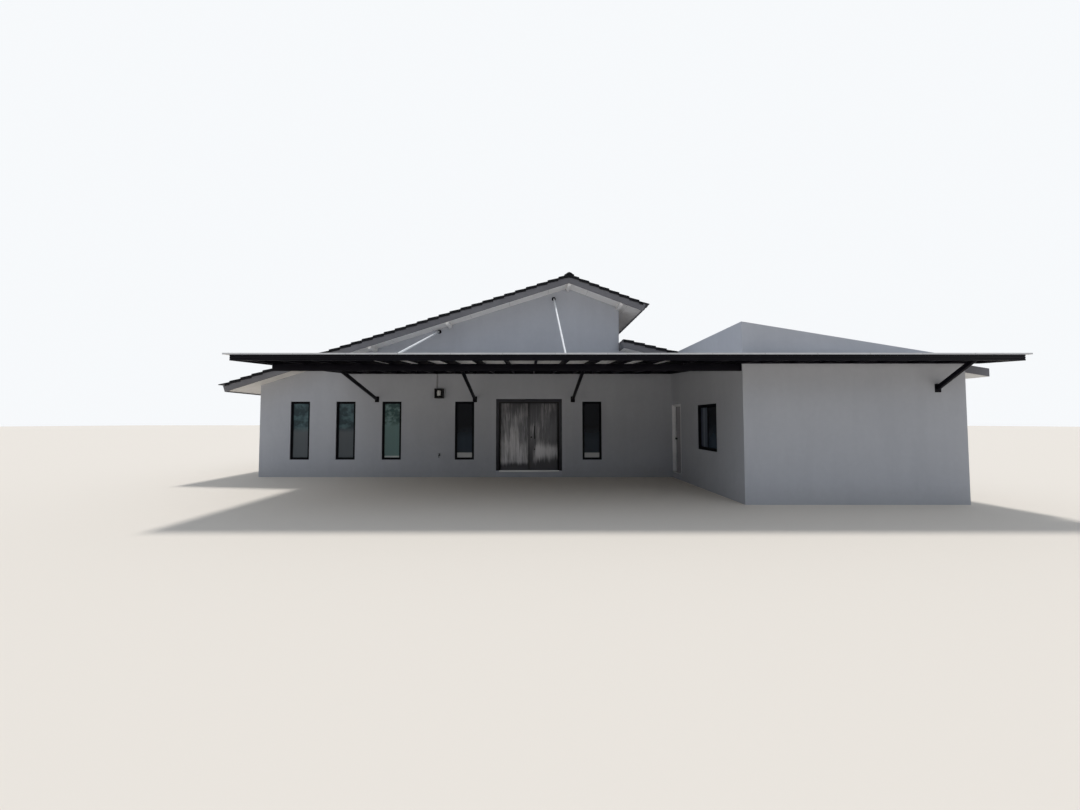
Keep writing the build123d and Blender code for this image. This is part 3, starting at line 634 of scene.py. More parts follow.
# %% [markdown]
# One field tile starts as a sheet with the tile's profile. It is slanted to the slope, gets its thickness,
# and is repeated across and then up the slope by two arrays. What stands past the head is cut off.

# %% Field tiles
def field_tiles(eave, head, y0, y1, seed):
    """Tiles from the eave to the head of a slope, each given as (x, z) on the tiles' upper face."""
    rows, step = courses(eave, head)
    columns = round((y1 - y0) / tile_cover)
    width = (y1 - y0) / columns
    reach = step * lap_share
    x0, x1 = sorted((eave[0], eave[0] + reach.x))
    tile = profiled("field_tiles", (x0, y0, eave[1]), (x1, y0 + width, eave[1]), 1, tile_profile)
    slant(tile, eave, step, (0, 0, reach.z - tile_lift))
    thicken(tile, tile_thickness)
    repeat(tile, columns, (0, width, 0))
    repeat(tile, rows, step)
    vary(tile, rows * columns, seed)
    cut(tile, (head[0], 0, 0), (step.x, 0, 0))
    return tile


print("field tiles ready")


# %% [markdown]
# A verge tile is thicker than the others, and an apron turns down from it over the board at the roof's edge.
# It is two plain bars: the plate, which laps as the other tiles do, and the apron under its outer edge.
# Each narrows a little towards its head, so that a fine shadow parts it from the one above.

# %% Verge tiles
verge_width = 0.15
verge_plate = 0.022
verge_lift = 0.036
verge_taper = 0.004
apron_thickness = 0.016
apron_depth = 0.09
apron_overlap = 0.01


def verge_tiles(eave, head, y, inward, board_x, seed):
    """Tiles along the verge at y, with aprons from the end of the board to the head."""
    rows, step = courses(eave, head)
    reach = step * lap_share
    plate = block(
        "verge_plates", (eave[0], y, eave[1]),
        (eave[0] + reach.x, y + inward * verge_width, eave[1] - verge_plate),
    )
    slant(plate, eave, step, (0, inward * verge_taper, reach.z - verge_lift))
    apron = block(
        "aprons", (eave[0], y, eave[1] - verge_plate + apron_overlap),
        (eave[0] + step.x, y + inward * apron_thickness, eave[1] - apron_depth),
    )
    slant(apron, eave, step, (0, inward * verge_taper, step.z - verge_lift / lap_share))
    for bar in (plate, apron):
        ease(bar, 0.003, 1)
        repeat(bar, rows, step)
        vary(bar, rows, seed)
        cut(bar, (head[0], 0, 0), (step.x, 0, 0))
    cut(apron, (board_x, 0, 0), (-step.x, 0, 0))
    return [plate, apron]


print("verge tiles ready")


# %% [markdown]
# A slope is field tiles between two verges. The tile layers in the frame are plain slabs, so their boxes give
# the eave, the head and the ends of each slope, and real tiles stand for them.

# %% Laying the slopes
def slope(layer, boards, eave_is_low):
    """Eave and head of a tile layer's upper face, as (x, z), its ends along Y, and where its boards end."""
    low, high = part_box(layer)
    board_low, board_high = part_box(boards)
    if eave_is_low:
        return (low.x, low.z + tile_depth), (high.x, high.z), low.y, high.y, board_low.x
    return (high.x, low.z + tile_depth), (low.x, high.z), low.y, high.y, board_high.x


def lay(name, layer, boards, eave_is_low, seed):
    """Cover a whole slope: field tiles between two verges."""
    eave, head, y0, y1, board_x = slope(layer, boards, eave_is_low)
    parts = [field_tiles(eave, head, y0 + verge_width, y1 - verge_width, seed)]
    parts += verge_tiles(eave, head, y0, 1, board_x, seed + 1)
    parts += verge_tiles(eave, head, y1, -1, board_x, seed + 2)
    return join(name, parts)


left_tiles = lay("left_tiles", "left_roof_tiles", "left_verge_boards", True, 10)
upper_tiles = lay("upper_tiles", "upper_roof_tiles", "upper_verge_boards", False, 20)
print("slopes laid", len(left_tiles.data.polygons), len(upper_tiles.data.polygons))

# %% [markdown]
# The lower roof passes behind the annex. In front of the house's front wall it ends at the annex, so its
# front part is laid on its own and cut there.

# %% Lower slope
corner_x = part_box("annex_side_wall")[0].x
inner_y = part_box("front_wall_left")[1].y
eave, head, y0, y1, board_x = slope("lower_roof_tiles", "lower_verge_boards", False)
lower_parts = [field_tiles(eave, head, y0 + verge_width, inner_y, 31)]
lower_parts += verge_tiles(eave, head, y0, 1, board_x, 32)
for part in lower_parts:
    cut(part, (corner_x, 0, 0), (1, 0, 0))
lower_parts.append(field_tiles(eave, head, inner_y, y1 - verge_width, 33))
lower_parts += verge_tiles(eave, head, y1, -1, board_x, 34)
lower_tiles = join("lower_tiles", lower_parts)
print("lower slope laid", len(lower_tiles.data.polygons))

# %% [markdown]
# Concrete tiles are dyed through and weather unevenly, so each takes its own shade from the number on its
# faces. Pale dust settles on what faces up. The turned-down edges are painted nearly black as shade, darker
# than the tile itself, and below, where no dye was brushed on, the concrete is a plain grey.

# %% Tile finish
tiles = Finish("charcoal tile", specular_ior_level=0.15)
tile_shade = tiles.node("Attribute", {"attribute_name": "shade"}, {}, "Fac")
weather = tiles.noise(0.7, 4, 0.6)
speckle = tiles.noise(120, 2, 0.7)
tone = (tile_shade * 0.35 + weather * 0.6 + speckle * 0.25).ramp(0.2, 1.05)
# The edge colour is painted shade: the turned-down edges are far darker than the tile's own charcoal.
edge = tiles.mix(tone, (0.004, 0.0045, 0.006), (0.014, 0.0135, 0.016))
top = tiles.mix(tone, (0.07, 0.067, 0.07), (0.17, 0.162, 0.16))
underside = (0.13, 0.127, 0.132)
facing_up = tiles.facing("Z")
sides = tiles.mix(facing_up.ramp(-0.9, -0.6), underside, edge)
tiles.set(base_color=tiles.mix(facing_up.ramp(0.4, 0.9), sides, top), roughness=0.62 + speckle * 0.25)
tiles.bump(speckle, 0.003, 0.5)
fit(left_tiles, tiles, replaced=["left_roof_tiles"])
fit(upper_tiles, tiles, replaced=["upper_roof_tiles"])
fit(lower_tiles, tiles, replaced=["lower_roof_tiles"])

# %% [markdown]
# Angled ridge tiles cover the joint between the slopes. One starts as a sheet that falls to both sides of its
# crown, has its back end lowered, gets its thickness, and is repeated along the ridge, each lapping over
# the one in front. They are bedded on dark mortar, which closes the ridge's end: a copy of the plain cap,
# drawn in and lowered a little.

# %% Ridge tiles
low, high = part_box("ridge_cap")
cap_profile = (-0.078, -0.066, -0.044, -0.02, -0.005, 0, -0.005, -0.02, -0.044, -0.066, -0.078)
cap_count = 26
cap_lap = 0.04
cap_thickness = 0.016
cap_clearance = 0.001
cap_cover = (high.y - low.y - cap_lap) / cap_count
cap_length = cap_cover + cap_lap
cap_z = high.z - cap_clearance
caps = profiled("ridge_tiles", (low.x, low.y, cap_z), (high.x, low.y + cap_length, cap_z), 0, cap_profile)
move(caps, lambda place: place.y > low.y + cap_length / 2, (0, 0, -tile_lift))
thicken(caps, cap_thickness)
ease(caps, 0.003, 1)
repeat(caps, cap_count, (0, cap_cover, 0))
vary(caps, cap_count, 40)
fit(caps, tiles, replaced=["ridge_cap"])

bedding_share = (0.9, 0.996, 1)
bedding_drop = 0.04
ridge_foot = ((low.x + high.x) / 2, (low.y + high.y) / 2, low.z)
mortar = merged("ridge_bedding", "ridge_cap")
pick(mortar, "FACE", everything)
bpy.ops.transform.resize(value=bedding_share, center_override=ridge_foot)
bpy.ops.transform.translate(value=(0, 0, -bedding_drop))
bpy.ops.object.mode_set(mode="OBJECT")
vary(mortar, 1, 41)
fit(mortar, tiles)

# %% [markdown]
# The awning is black painted steel: a ribbed channel in front, rafters and beams behind it. Paint on steel is
# nearly black with a soft sheen, and pale dust settles where it faces up. The solids have the right
# shape, so copies with eased edges stand for them.

# %% Black steel
steel = Finish("black painted steel", specular_ior_level=0.08)
steel_clouds = steel.noise(2.5, 4, 0.6)
steel_dust = steel.facing("Z").ramp(0.5, 1) * steel_clouds.ramp(0.3, 0.7)
black = steel.patchy(steel_clouds, (0.002, 0.0017, 0.004), (0.0045, 0.004, 0.007))
steel.set(base_color=steel.mix(steel_dust * 0.45, black, (0.13, 0.125, 0.115)))
steel.set(roughness=0.38 + steel_clouds * 0.25)
steel.bump(steel.noise(70, 2), 0.0015, 0.3)
for name, node, width in (
    ("fascia_channel", "awning_front_beam", 0.0015), ("side_channels", "awning_side_beams", 0.004),
    ("wall_channels", "awning_wall_beams", 0.004), ("corner_channel", "awning_corner_beam", 0.004),
    ("cross_beam", "awning_main_beam", 0.006), ("rafter_bars", "awning_rafters", 0.004),
    ("brace_bars", "wall_braces", 0.006), ("foot_plates", "brace_plates", 0.001),
    ("wall_eyes", "tie_rod_wall_brackets", 0.002), ("deck_cleats", "tie_rod_deck_brackets", 0.002),
):
    restore(name, node, width, steel)

# %% [markdown]
# Each brace stands on a plate that four bolts hold to the wall, and each tie rod turns on a bolt through its
# cheeks. A bolt head is a six-sided cylinder with eased edges, on a washer.

# %% Bolts
bolt_radius = 0.011
bolt_height = 0.008
washer_radius = bolt_radius * 1.35
washer_height = 0.002
bolt_inset = 0.024


def disc(name, middle, axis, radius, thickness, sides):
    """Flat cylinder that lies along X or Y."""
    turn = (math.pi / 2, 0, 0) if axis == 1 else (0, math.pi / 2, 0)
    deselect()
    bpy.ops.mesh.primitive_cylinder_add(
        vertices=sides, radius=radius, depth=thickness, location=middle, rotation=turn,
    )
    return named(name)


def bolt(place, axis, out):
    """Bolt head on a washer, at a place on a surface, standing out along an axis."""
    parts = []
    start = 0
    for name, sides, radius, height in (
        ("washer", 24, washer_radius, washer_height), ("head", 6, bolt_radius, bolt_height),
    ):
        middle = Vector(place)
        middle[axis] += out * (start + height / 2)
        part = disc(name, middle, axis, radius, height, sides)
        ease(part, height * 0.3, 1)
        parts.append(part)
        start += height
    return join("bolt", parts)


bolts = []
for low, high in solids("brace_plates"):
    for x in (low.x + bolt_inset, high.x - bolt_inset):
        for z in (low.z + bolt_inset, high.z - bolt_inset):
            bolts.append(bolt((x, low.y, z), 1, -1))
for low, high in solids("tie_rod_deck_brackets"):
    middle = (low + high) / 2
    for x, out in ((low.x, -1), (high.x, 1)):
        bolts.append(bolt((x, middle.y, middle.z), 0, out))
fit(join("bolt_heads", bolts), steel)

# %% [markdown]
# The awning's sheet is a light grey panel, flat and white below, and dusty above. Its solid is exact, so it
# stays and only gets this finish, with a fine dark line at each seam between two sheets.

# %% Awning sheet
seam_pitch = 1.0
seam_width = 0.007
sheet = Finish("light grey sheet")
sheet_clouds = sheet.noise(0.9, 4, 0.6)
sheet_runs = sheet.noise(7, 3, 0.6, (1, 0.06, 1))
seam_line = sheet.lines(sheet.axis("X"), seam_pitch, seam_width)
sheet_tone = (sheet_clouds * 0.5 + sheet_runs * 0.5).ramp(0.3, 0.7)
sheet_dust = sheet.facing("Z").ramp(0.5, 0.95)
sheet_face = sheet.mix(sheet_tone, (0.6, 0.605, 0.62), (0.69, 0.695, 0.71))
dusty_top = sheet.mix(sheet_tone, (0.53, 0.535, 0.555), (0.62, 0.625, 0.645))
sheet_top = sheet.mix(sheet_dust, sheet_face, dusty_top)
sheet_under = sheet.mix(sheet_tone, (0.87, 0.865, 0.86), (0.93, 0.925, 0.92))
sheet_colour = sheet.mix(sheet.upper(), sheet_under, sheet_top)
sheet.set(base_color=sheet.mix(seam_line * 0.5, sheet_colour, (0.22, 0.22, 0.22)))
sheet.set(roughness=0.38 + sheet_clouds * 0.2)
sheet.bump(sheet_clouds - seam_line * 0.3, 0.004, 0.4)
dress(sheet, "awning_deck")
print("awning sheet dressed")

# %% [markdown]
# The annex's roof has a greyer, weathered sheet that falls to the right, where it ends in a boxed eave. The
# box is painted grey on its sides and left pale below, so one finish tells its underside from the rest.

# %% Annex roof and eave
roof_sheet = Finish("weathered roof sheet")
roof_clouds = roof_sheet.noise(0.9, 4, 0.6)
roof_streaks = roof_sheet.noise(7, 3, 0.6, (0.06, 1, 1))
roof_tone = (roof_clouds * 0.5 + roof_streaks * 0.5).ramp(0.3, 0.7)
roof_top = roof_sheet.mix(roof_tone, (0.31, 0.32, 0.34), (0.44, 0.45, 0.47))
roof_sheet.set(base_color=roof_sheet.mix(roof_sheet.upper(), (0.8, 0.8, 0.79), roof_top))
roof_sheet.set(roughness=0.4 + roof_clouds * 0.2)
roof_sheet.bump(roof_clouds, 0.004, 0.4)
dress(roof_sheet, "annex_roof_deck")

eave_box = Finish("eave box paint", roughness=0.55)
box_clouds = eave_box.noise(1.5, 4, 0.6)
box_sides = eave_box.patchy(box_clouds, (0.13, 0.133, 0.155), (0.16, 0.163, 0.185))
box_under = eave_box.patchy(box_clouds, (0.68, 0.68, 0.66), (0.78, 0.78, 0.76))
eave_box.set(base_color=eave_box.mix(eave_box.upper(), box_under, box_sides))
eave_box.bump(eave_box.noise(60, 2), 0.002, 0.3)
dress(eave_box, "annex_eave_box")
print("annex roof dressed")

# %% [markdown]
# Both sheets are ribbed on top. A rib is one bar with a narrower top, pushed up at its far end to lie on the
# slope, and repeated across the sheet. Ribs in real sheet are pressed, but a bar on it looks the same from
# above, and the flat solid below it stays as it is.

# %% Sheet ribs
rib_pitch = 0.25
rib_height = 0.012
rib_half = 0.03
rib_top_share = 0.5
rib_inset = 0.16
sheet_thickness = 0.03


def ribs(name, corner, opposite, along, rise):
    """Ribs along an axis on a sheet that rises from the first corner to the opposite one."""
    across = 1 - along
    span = opposite[across] - corner[across]
    count = round(span / rib_pitch) - 1
    middle = Vector(corner)
    middle[across] += (span - (count - 1) * rib_pitch) / 2
    start, end = middle.copy(), middle.copy()
    start[across] -= rib_half
    end[across] += rib_half
    end[along] = opposite[along]
    end.z += rib_height
    rib = block(name, start, end)
    narrow = Vector((1, 1, 1))
    narrow[across] = rib_top_share
    pick(rib, "FACE", lambda place, normal: normal.z > face_on)
    bpy.ops.transform.resize(value=narrow, center_override=middle)
    bpy.ops.object.mode_set(mode="OBJECT")
    half_way = (corner[along] + opposite[along]) / 2
    move(rib, lambda place: place[along] > half_way, (0, 0, rise * (opposite[along] - corner[along])))
    ease(rib, 0.004, 1)
    step = Vector((0, 0, 0))
    step[across] = rib_pitch
    repeat(rib, count, step)
    return rib


low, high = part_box("awning_deck")
awning_rise = (high.z - low.z - sheet_thickness) / (high.y - low.y)
rib_y = low.y + rib_inset
rib_z = low.z + sheet_thickness + awning_rise * rib_inset
annex_front_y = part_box("annex_front_wall")[0].y
awning_ribs = join("awning_ribs", [
    ribs("left_ribs", (low.x, rib_y, rib_z), (corner_x, front_y, 0), 1, awning_rise),
    ribs("right_ribs", (corner_x, rib_y, rib_z), (high.x, annex_front_y, 0), 1, awning_rise),
])
fit(awning_ribs, sheet)

annex_deck_depth = 0.17
low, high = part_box("annex_roof_deck")
annex_rise = (low.z + annex_deck_depth - high.z) / (high.x - low.x)
annex_ribs = ribs("annex_ribs", (low.x, low.y, high.z), (high.x, high.y, 0), 0, annex_rise)
fit(annex_ribs, roof_sheet)

# %% [markdown]
# Windows are black powder-coated frames around tinted glass. A frame is a block whose two large faces are
# inset and bridged, which opens it. A second ring inside it, set back a little, is the sash that holds the
# pane. Four separate bars would show a seam at each corner.

# %% Narrow windows
powder = Finish("black powder coat")
powder_grain = powder.noise(380, 1)
powder_clouds = powder.noise(4, 3)
powder.set(base_color=powder.patchy(powder_clouds, (0.002, 0.002, 0.0035), (0.004, 0.004, 0.006)))
powder.set(roughness=0.55 + powder_grain * 0.16, specular_ior_level=0.06)
powder.bump(powder_grain, 0.0006, 0.4)

narrow_face = 0.034
narrow_sash_face = 0.034
narrow_sash_setback = 0.012
sash_overlap = 0.001
sash_corner = Vector((narrow_face - sash_overlap, narrow_sash_setback, narrow_face - sash_overlap))
narrow_parts = []
for low, high in solids("narrow_window_frames"):
    outer = ring("narrow_frame", low, high, 1, narrow_face)
    ease(outer, 0.003)
    sash = ring("narrow_sash", low + sash_corner, high - sash_corner, 1, narrow_sash_face)
    ease(sash, 0.004)
    narrow_parts += [outer, sash]
fit(join("narrow_windows", narrow_parts), powder, replaced=["narrow_window_frames"])

# %% [markdown]
# A wide window has two sliding sashes that pass each other on two tracks. Every pane in the frame lies in the
# middle of its own sash, so the sashes are made from the panes: a ring around each, and a small pull on
# each of its stiles, which stands a little proud on both sides.

# %% Wide windows
wide_face = 0.045
sash_face = 0.032
sash_depth = 0.026
sash_pull_width = 0.014
sash_pull_length = 0.13
sash_pull_proud = 0.002
wide_parts = []


def thin_axis(low, high):
    """Level axis along which a solid is thinner."""
    return 0 if high.x - low.x < high.y - low.y else 1


for low, high in solids("wide_window_frames"):
    outer = ring("wide_frame", low, high, thin_axis(low, high), wide_face)
    ease(outer, 0.003)
    wide_parts.append(outer)
for low, high in solids("wide_window_glass"):
    axis = thin_axis(low, high)
    across = 1 - axis
    middle = (low + high) / 2
    around = Vector((sash_face,) * 3)
    around[axis] = (sash_depth - (high[axis] - low[axis])) / 2
    sash = ring("wide_sash", low - around, high + around, axis, sash_face)
    ease(sash, 0.003)
    wide_parts.append(sash)
    for stile in (low[across] - sash_face / 2, high[across] + sash_face / 2):
        start = Vector((0, 0, middle.z - sash_pull_length / 2))
        start[across] = stile - sash_pull_width / 2
        start[axis] = low[axis] - around[axis] - sash_pull_proud
        end = Vector((0, 0, middle.z + sash_pull_length / 2))
        end[across] = stile + sash_pull_width / 2
        end[axis] = high[axis] + around[axis] + sash_pull_proud
        pull = block("sash_pull", start, end)
        ease(pull, 0.0019)
        wide_parts.append(pull)
fit(join("wide_windows", wide_parts), powder, replaced=["wide_window_frames"])

# %% [markdown]
# The glass is tinted. On the left it is teal and broken up above, as if it mirrored open air. What a pane
# mirrors isn't there to be mirrored, so a broken pattern in the colour suggests it.

# %% Open side of the glass
glass = Finish("tinted glass", metallic=0, alpha=0.93, ior=1.52, specular_ior_level=0.07)
across = glass.axis("X")
height = glass.axis("Z")
open_side = 1 - across.ramp(-3.6, -3.0)
mirrored = glass.noise(2.3, 3, 0.6, (1.2, 1.2, 1.6)).ramp(0.42, 0.6)
upper_far = glass.mix(mirrored, (0.045, 0.068, 0.076), (0.1, 0.16, 0.172))
teal_far = glass.mix(height.ramp(1.35, 1.6), (0.125, 0.14, 0.15), upper_far)
upper_near = glass.mix(mirrored, (0.06, 0.11, 0.105), (0.22, 0.33, 0.32))
teal_near = glass.mix(height.ramp(1.5, 1.8), (0.17, 0.265, 0.255), upper_near)
teal = glass.mix(across.ramp(-5.5, -4.6), teal_far, teal_near)
print("open side mixed")

# %% [markdown]
# Near the door the glass is painted with the dark rooms behind it, as painted shade: nearly black above, and
# a deep blue below, which is a painted reflection of the ground. The far pane of the annex window has soft
# upright bands in it. The pale inner sill shows through at the foot of most panes. A little see-through makes
# it glass.

# %% Glass
far_sill_rise = 0.1
along = glass.axis("Y")
far_pane = across.ramp(4.3, 4.4) * along.ramp(-2.56, -2.54) * (1 - along.ramp(-1, -0.9))
glass_clouds = glass.noise(1.1, 2, 0.5, (1, 1, 0.4)).ramp(0.35, 0.65)
# Painted shade of the dark rooms behind, lighter and bluer towards the foot as a painted reflection of the
# ground.
room_shade_and_reflection = glass.mix(height.ramp(1.1, 1.9) + glass_clouds * 0.4, (0.045, 0.068, 0.098), (0.003, 0.004, 0.008))
bands = glass.noise(4.5, 2, 0.5, (1, 1, 0.03)).ramp(0.4, 0.62)
banded = glass.mix(bands, (0.075, 0.09, 0.125), (0.21, 0.245, 0.29))
sill_top = 0.65 + across.ramp(-3.5, -3.4) * far_sill_rise
inner_sill = (1 - (height - sill_top).ramp(0, 0.012)) * across.ramp(-4.7, -4.6)
pane = glass.mix(far_pane, glass.mix(open_side, room_shade_and_reflection, teal), banded)
glass.set(base_color=glass.mix(inner_sill * 0.7, pane, (0.85, 0.85, 0.83)))
glass.set(roughness=0.02 + glass.noise(1.3, 2) * 0.03)
dress(glass, "narrow_window_glass", "wide_window_glass")
print("glass dressed")

# %% [markdown]
# The double door is lacquered dark wood with a strong upright grain. Pale streaks in it are the grain,
# brightened in places by a painted reflection: it is strongest on the lower half of the left leaf and in one
# patch low on the right leaf, and faint beside the pull. The right leaf is painted darker overall, and both
# leaves darker towards their foot. A dark strip covers the joint where the leaves meet. The leaves and their
# hinges are exact in the frame, so eased copies stand for them.

# %% Door wood
wood = Finish("dark wood", specular_ior_level=0.6)
broad = wood.noise(7.5, 4, 0.7, (1, 1, 0.1))
fine = wood.noise(48, 3, 0.7, (1, 1, 0.03))
height = wood.axis("Z")
across = wood.axis("X")
patches = (wood.noise(1.7, 2, 0.5, (1, 1, 0.7)) - 0.5) * 0.35
# The placed pale patches on each leaf are a painted reflection of a bright ground, laid over the real grain.
# The right leaf is painted darker overall, and both leaves darken below half a metre.
left_leaf_reflection = height.ramp(0.3, 0.5) * (1 - height.ramp(0.7, 1.7)) * 0.16 - 0.03
low_reflection = height.ramp(0.4, 0.75) * (1 - height.ramp(0.8, 1.15)) * across.ramp(0.05, 0.35)
pull_reflection = height.ramp(1.0, 1.3) * (1 - height.ramp(1.5, 1.8)) * (1 - across.ramp(0.15, 0.45))
right_leaf_reflection = low_reflection * 0.31 + pull_reflection * 0.15 - 0.11
right_leaf = across.ramp(-0.02, 0.02)
reflection_and_foot = left_leaf_reflection * (1 - right_leaf) + right_leaf_reflection * right_leaf + (height.ramp(0.2, 0.5) - 1) * 0.15
edges = abs(abs(across) - 0.48).ramp(0.34, 0.46) * 0.04
grain_and_reflection = (broad * 0.5 + fine * 0.5 + patches + reflection_and_foot - edges).ramp(0.38, 0.74)
cover_strip = 1 - abs(across).ramp(0.028, 0.034)
grain_and_reflection_colour = wood.mix(grain_and_reflection, (0.07, 0.068, 0.077), (0.76, 0.745, 0.76))
wood.set(base_color=wood.mix(cover_strip, grain_and_reflection_colour, (0.008, 0.008, 0.009)))
wood.set(roughness=0.3 + fine * 0.25)
wood.bump(fine + broad * 0.6, 0.0025, 0.5)
restore("left_leaf", "main_door_leaf_left", 0.001, wood, "main_leaf_left")
restore("right_leaf", "main_door_leaf_right", 0.001, wood, "main_leaf_right")

# %% [markdown]
# The door's frame is dark grey aluminium in front and a black rebate behind, where the leaf closes against
# it. The furniture is black: a long pull, a lock knob and a keyhole plate.

# %% Door frame and furniture
frame_grey = Finish("dark grey aluminium", roughness=0.4, metallic=0.2, specular_ior_level=0.25)
frame_clouds = frame_grey.noise(3, 3)
frame_front = frame_grey.patchy(frame_clouds, (0.019, 0.0185, 0.024), (0.028, 0.027, 0.034))
rebate = frame_grey.axis("Y").ramp(-0.06, -0.05)
frame_grey.set(base_color=frame_grey.mix(rebate, frame_front, (0.003, 0.003, 0.0035)))
frame_grey.bump(frame_grey.noise(300, 1), 0.0006, 0.3)
restore("door_surround", "main_door_frame", 0.001, frame_grey)


def worn_metal(name, scale, dark, light, rough, spread, **surface):
    """Finish that drifts between two tones, and is rougher where it is lighter."""
    finish = Finish(name, **surface)
    wear = finish.noise(scale, 3)
    finish.set(base_color=finish.patchy(wear, dark, light), roughness=rough + wear * spread)
    return finish


door_black = worn_metal(
    "black door furniture", 30, (0.002, 0.002, 0.003), (0.006, 0.006, 0.007), 0.32, 0.15,
    specular_ior_level=0.06,
)
restore("long_pull", "main_door_pull", 0, door_black, "main_leaf_right")
restore("lock_knob", "main_door_lock", 0.0015, door_black, "main_leaf_right")

# %% [markdown]
# The keyhole sits in a round plate, in line with the pull. The plate starts as a flat cylinder on the leaf,
# and two insets in its front sink the hole.

# %% Keyhole plate
plate_radius = 0.022
plate_thickness = 0.006
plate_face = 0.013
keyhole_height = 0.857
keyhole_depth = 0.004
keyhole_edge = 0.001
pull_low, pull_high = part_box("main_door_pull")
keyhole_middle = ((pull_low.x + pull_high.x) / 2, pull_high.y - plate_thickness / 2, keyhole_height)
keyhole = disc("keyhole_plate", keyhole_middle, 1, plate_radius, plate_thickness, 32)
pick(keyhole, "FACE", lambda middle, normal: normal.y < -face_on)
bpy.ops.mesh.inset(thickness=plate_face, depth=0)
bpy.ops.mesh.inset(thickness=keyhole_edge, depth=-keyhole_depth)
bpy.ops.object.mode_set(mode="OBJECT")
ease(keyhole, 0.001)
fit(keyhole, door_black, "main_leaf_right")

# %% [markdown]
# Under the leaves of both doors lies a threshold of bare aluminium: a nosing in front of the floor's edge,
# and a thin plate over it that reaches back to the leaf. It is one block whose back is divided at the
# floor's level and drawn out into the plate.

# %% Thresholds
sill_height = 0.036
sill_nose = 0.008
sill_plate = 0.003
sill_gap = 0.005
sill_end = 0.01
sill_clearance = 0.0005
floor_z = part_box("floor_slab")[1].z


def threshold(name, frame_node, leaf_nodes, inwards):
    """Threshold in front of the leaves of a frame, which the doorway crosses along one axis."""
    along = 1 - inwards
    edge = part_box(frame_node)[0][inwards]
    leaf_boxes = [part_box(node) for node in leaf_nodes]
    low = Vector((0, 0, floor_z - sill_height))
    high = Vector((0, 0, floor_z + sill_plate))
    low[inwards] = edge - sill_nose
    high[inwards] = edge - sill_clearance
    low[along] = min(box[0][along] for box in leaf_boxes) + sill_end
    high[along] = max(box[1][along] for box in leaf_boxes) - sill_end
    sill = block(name, low, high)
    pick(sill, "FACE", lambda middle, normal: normal[inwards] > face_on)
    bpy.ops.mesh.subdivide(number_cuts=1)
    bpy.ops.object.mode_set(mode="OBJECT")
    half_z = (low.z + high.z) / 2
    move(sill, lambda place: abs(place.z - half_z) < near, (0, 0, floor_z + sill_clearance - half_z))
    pick(sill, "FACE", lambda middle, normal: normal[inwards] > face_on and middle.z > floor_z)
    back = Vector((0, 0, 0))
    back[inwards] = leaf_boxes[0][0][inwards] - sill_gap - edge
    bpy.ops.mesh.extrude_region_move(TRANSFORM_OT_translate={"value": back})
    bpy.ops.object.mode_set(mode="OBJECT")
    ease(sill, 0.001)
    return sill


aluminium = Finish("brushed aluminium", metallic=0.6)
brushing = aluminium.noise(14, 3, 0.6, (0.1, 8, 8))
aluminium.set(base_color=aluminium.patchy(brushing, (0.55, 0.55, 0.55), (0.72, 0.72, 0.72)))
aluminium.set(roughness=0.4 + brushing * 0.2)
front_leaves = ["main_door_leaf_left", "main_door_leaf_right"]
fit(threshold("door_threshold", "main_door_frame", front_leaves, 1), aluminium)
fit(threshold("side_threshold", "side_door_frame", ["side_door_leaf"], 0), aluminium)

# %% [markdown]
# The side door is a plain painted flush door in a light frame, with a black knob. Paint on steel is even, so
# its finish is mostly in faint clouds, and in scuffs near the foot of the leaf.

# %% Side door
frame_paint = Finish("light frame paint", roughness=0.5)
frame_paint.set(base_color=frame_paint.patchy(frame_paint.noise(3, 4), (0.82, 0.82, 0.83), (0.9, 0.9, 0.91)))
frame_paint.bump(frame_paint.noise(90, 2), 0.0015, 0.3)
restore("side_surround", "side_door_frame", 0.001, frame_paint)

door_paint = Finish("grey door paint", roughness=0.5)
scuffs = door_paint.noise(14, 3, 0.6, (1, 1, 0.3)).ramp(0.6, 0.75) * (1 - door_paint.axis("Z").ramp(0.3, 0.8))
paint_grey = door_paint.patchy(door_paint.noise(2, 4), (0.35, 0.34, 0.365), (0.41, 0.4, 0.42))
door_paint.set(base_color=door_paint.mix(scuffs * 0.5, paint_grey, (0.2, 0.19, 0.18)))
door_paint.bump(door_paint.noise(90, 2), 0.0015, 0.3)
restore("side_panel", "side_door_leaf", 0.001, door_paint, "side_leaf")
restore("side_knob", "side_door_knob", 0, door_black, "side_leaf")

# %% [markdown]
# White rods hang the awning, each from a black fork at the wall. Rod and fork are one solid, so the finish
# turns black where the fork begins.

# %% Rods
white = Finish("white painted steel")
white_clouds = white.noise(6, 4)
rod_white = white.patchy(white_clouds, (0.68, 0.69, 0.69), (0.78, 0.79, 0.79), 0.75)
fork = white.axis("Y").ramp(-0.2, -0.195)
white.set(base_color=white.mix(fork, rod_white, (0.006, 0.006, 0.007)))
white.set(roughness=0.35 + white_clouds * 0.15)
restore("hanger_rods", "tie_rods", 0, white)

# %% [markdown]
# The lamp is a black enamelled box with a drum of opal glass. The drum is a copy whose top is lowered, so
# that a gap shows over it.

# %% Lamp
lamp_black = worn_metal(
    "black lamp enamel", 60, (0.005, 0.005, 0.006), (0.012, 0.012, 0.013), 0.4, 0.15, specular_ior_level=0.3,
)
restore("lamp_box", "wall_lamp", 0.0015, lamp_black)

drum_gap = 0.045
drum_rim = 0.05
opal = Finish("opal glass", roughness=0.25)
opal.set(base_color=opal.mix(opal.noise(12, 2), (0.56, 0.56, 0.54), (0.66, 0.66, 0.64)))
drum = merged("lamp_drum", "lamp_glass")
drum_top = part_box("lamp_glass")[1].z
move(drum, lambda place: place.z > drum_top - drum_rim, (0, 0, -drum_gap))
fit(drum, opal, replaced=["lamp_glass"])

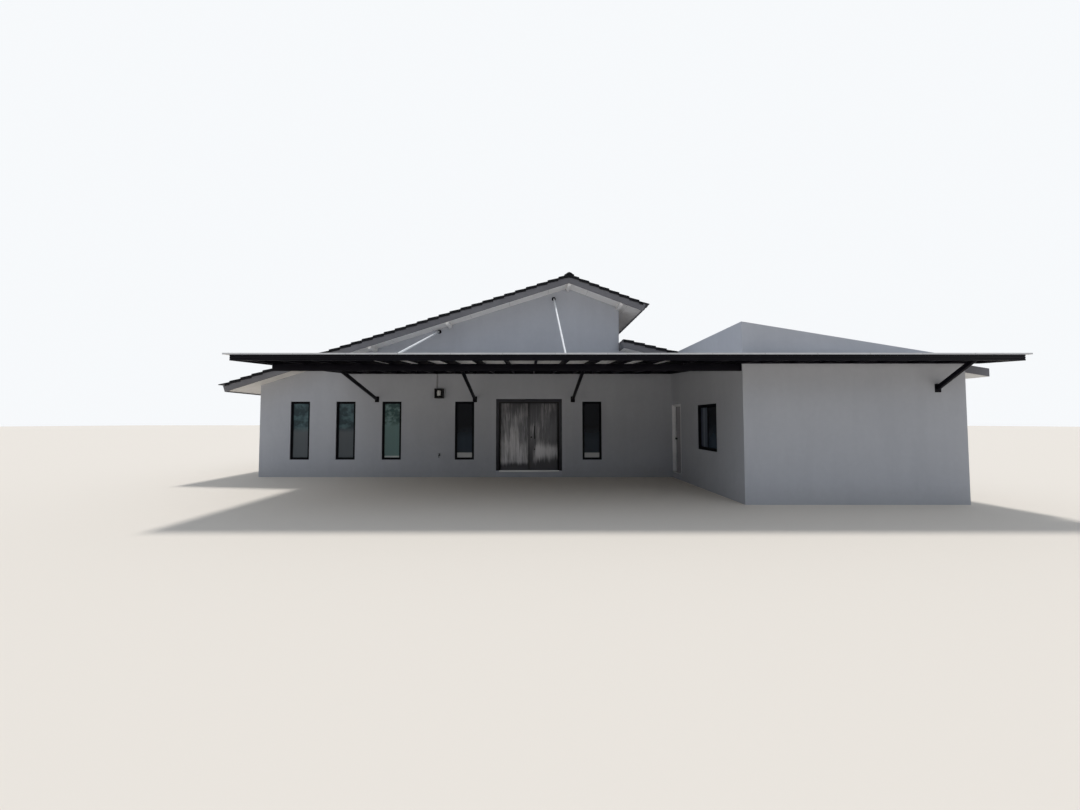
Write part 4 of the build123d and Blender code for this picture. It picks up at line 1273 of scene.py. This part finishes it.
# %% [markdown]
# A grey plastic conduit feeds the lamp, and a tap of dull, worn metal stands low on the wall. Both are round
# solids, which only need smooth shading.

# %% Conduit and tap
plastic = Finish("grey conduit", roughness=0.5)
plastic.set(base_color=plastic.mix(plastic.noise(8, 3), (0.26, 0.26, 0.275), (0.33, 0.33, 0.345)))
restore("lamp_pipe", "lamp_conduit", 0, plastic)

tap_metal = worn_metal(
    "dull tap metal", 40, (0.02, 0.02, 0.023), (0.07, 0.07, 0.075), 0.32, 0.2,
    metallic=0.4, specular_ior_level=0.2,
)
restore("yard_tap", "garden_tap", 0, tap_metal)

# %% [markdown]
# The floors are screeded concrete, and where the main floor comes out under the door, its edge is rendered as
# the walls are. The roof decks are sawn timber.

# %% Floors and decks
screed = Finish("floor screed", roughness=0.8)
screed_clouds = screed.noise(1.2, 5, 0.6)
screed_grit = screed.noise(90, 2)
screed_tone = (screed_clouds * 0.7 + screed_grit * 0.3).ramp(0.3, 0.7)
screed_top = screed.mix(screed_tone, (0.33, 0.33, 0.32), (0.45, 0.45, 0.43))
plinth = screed.mix(screed_tone, render_dark, render_light)
screed.set(base_color=screed.mix(screed.facing("Z").ramp(0.4, 0.6), plinth, screed_top))
screed.bump(screed_grit, 0.003, 0.4)
dress(screed, "floor_slab", "annex_floor")

timber = Finish("roof timber", roughness=0.7)
timber_grain = timber.noise(14, 4, 0.6, (0.08, 1, 1))
timber.set(base_color=timber.patchy(timber_grain, (0.27, 0.19, 0.12), (0.42, 0.31, 0.2)))
timber.bump(timber_grain, 0.003, 0.4)
dress(timber, "left_roof_deck", "upper_roof_deck", "lower_roof_deck")
print("floors and decks dressed")

# %% [markdown]
# The house stands on a plain pale floor, which isn't part of it. It reaches far past the camera's view.

# %% Floor
floor_side = 400
ground = Finish("studio floor", roughness=0.9, base_color=(0.68, 0.62, 0.545, 1), specular_ior_level=0.2)
deselect()
bpy.ops.mesh.primitive_plane_add(size=floor_side, location=(0, 0, 0))
floor = named("studio_floor")
floor.data.materials.append(ground.material)
print("floor laid")
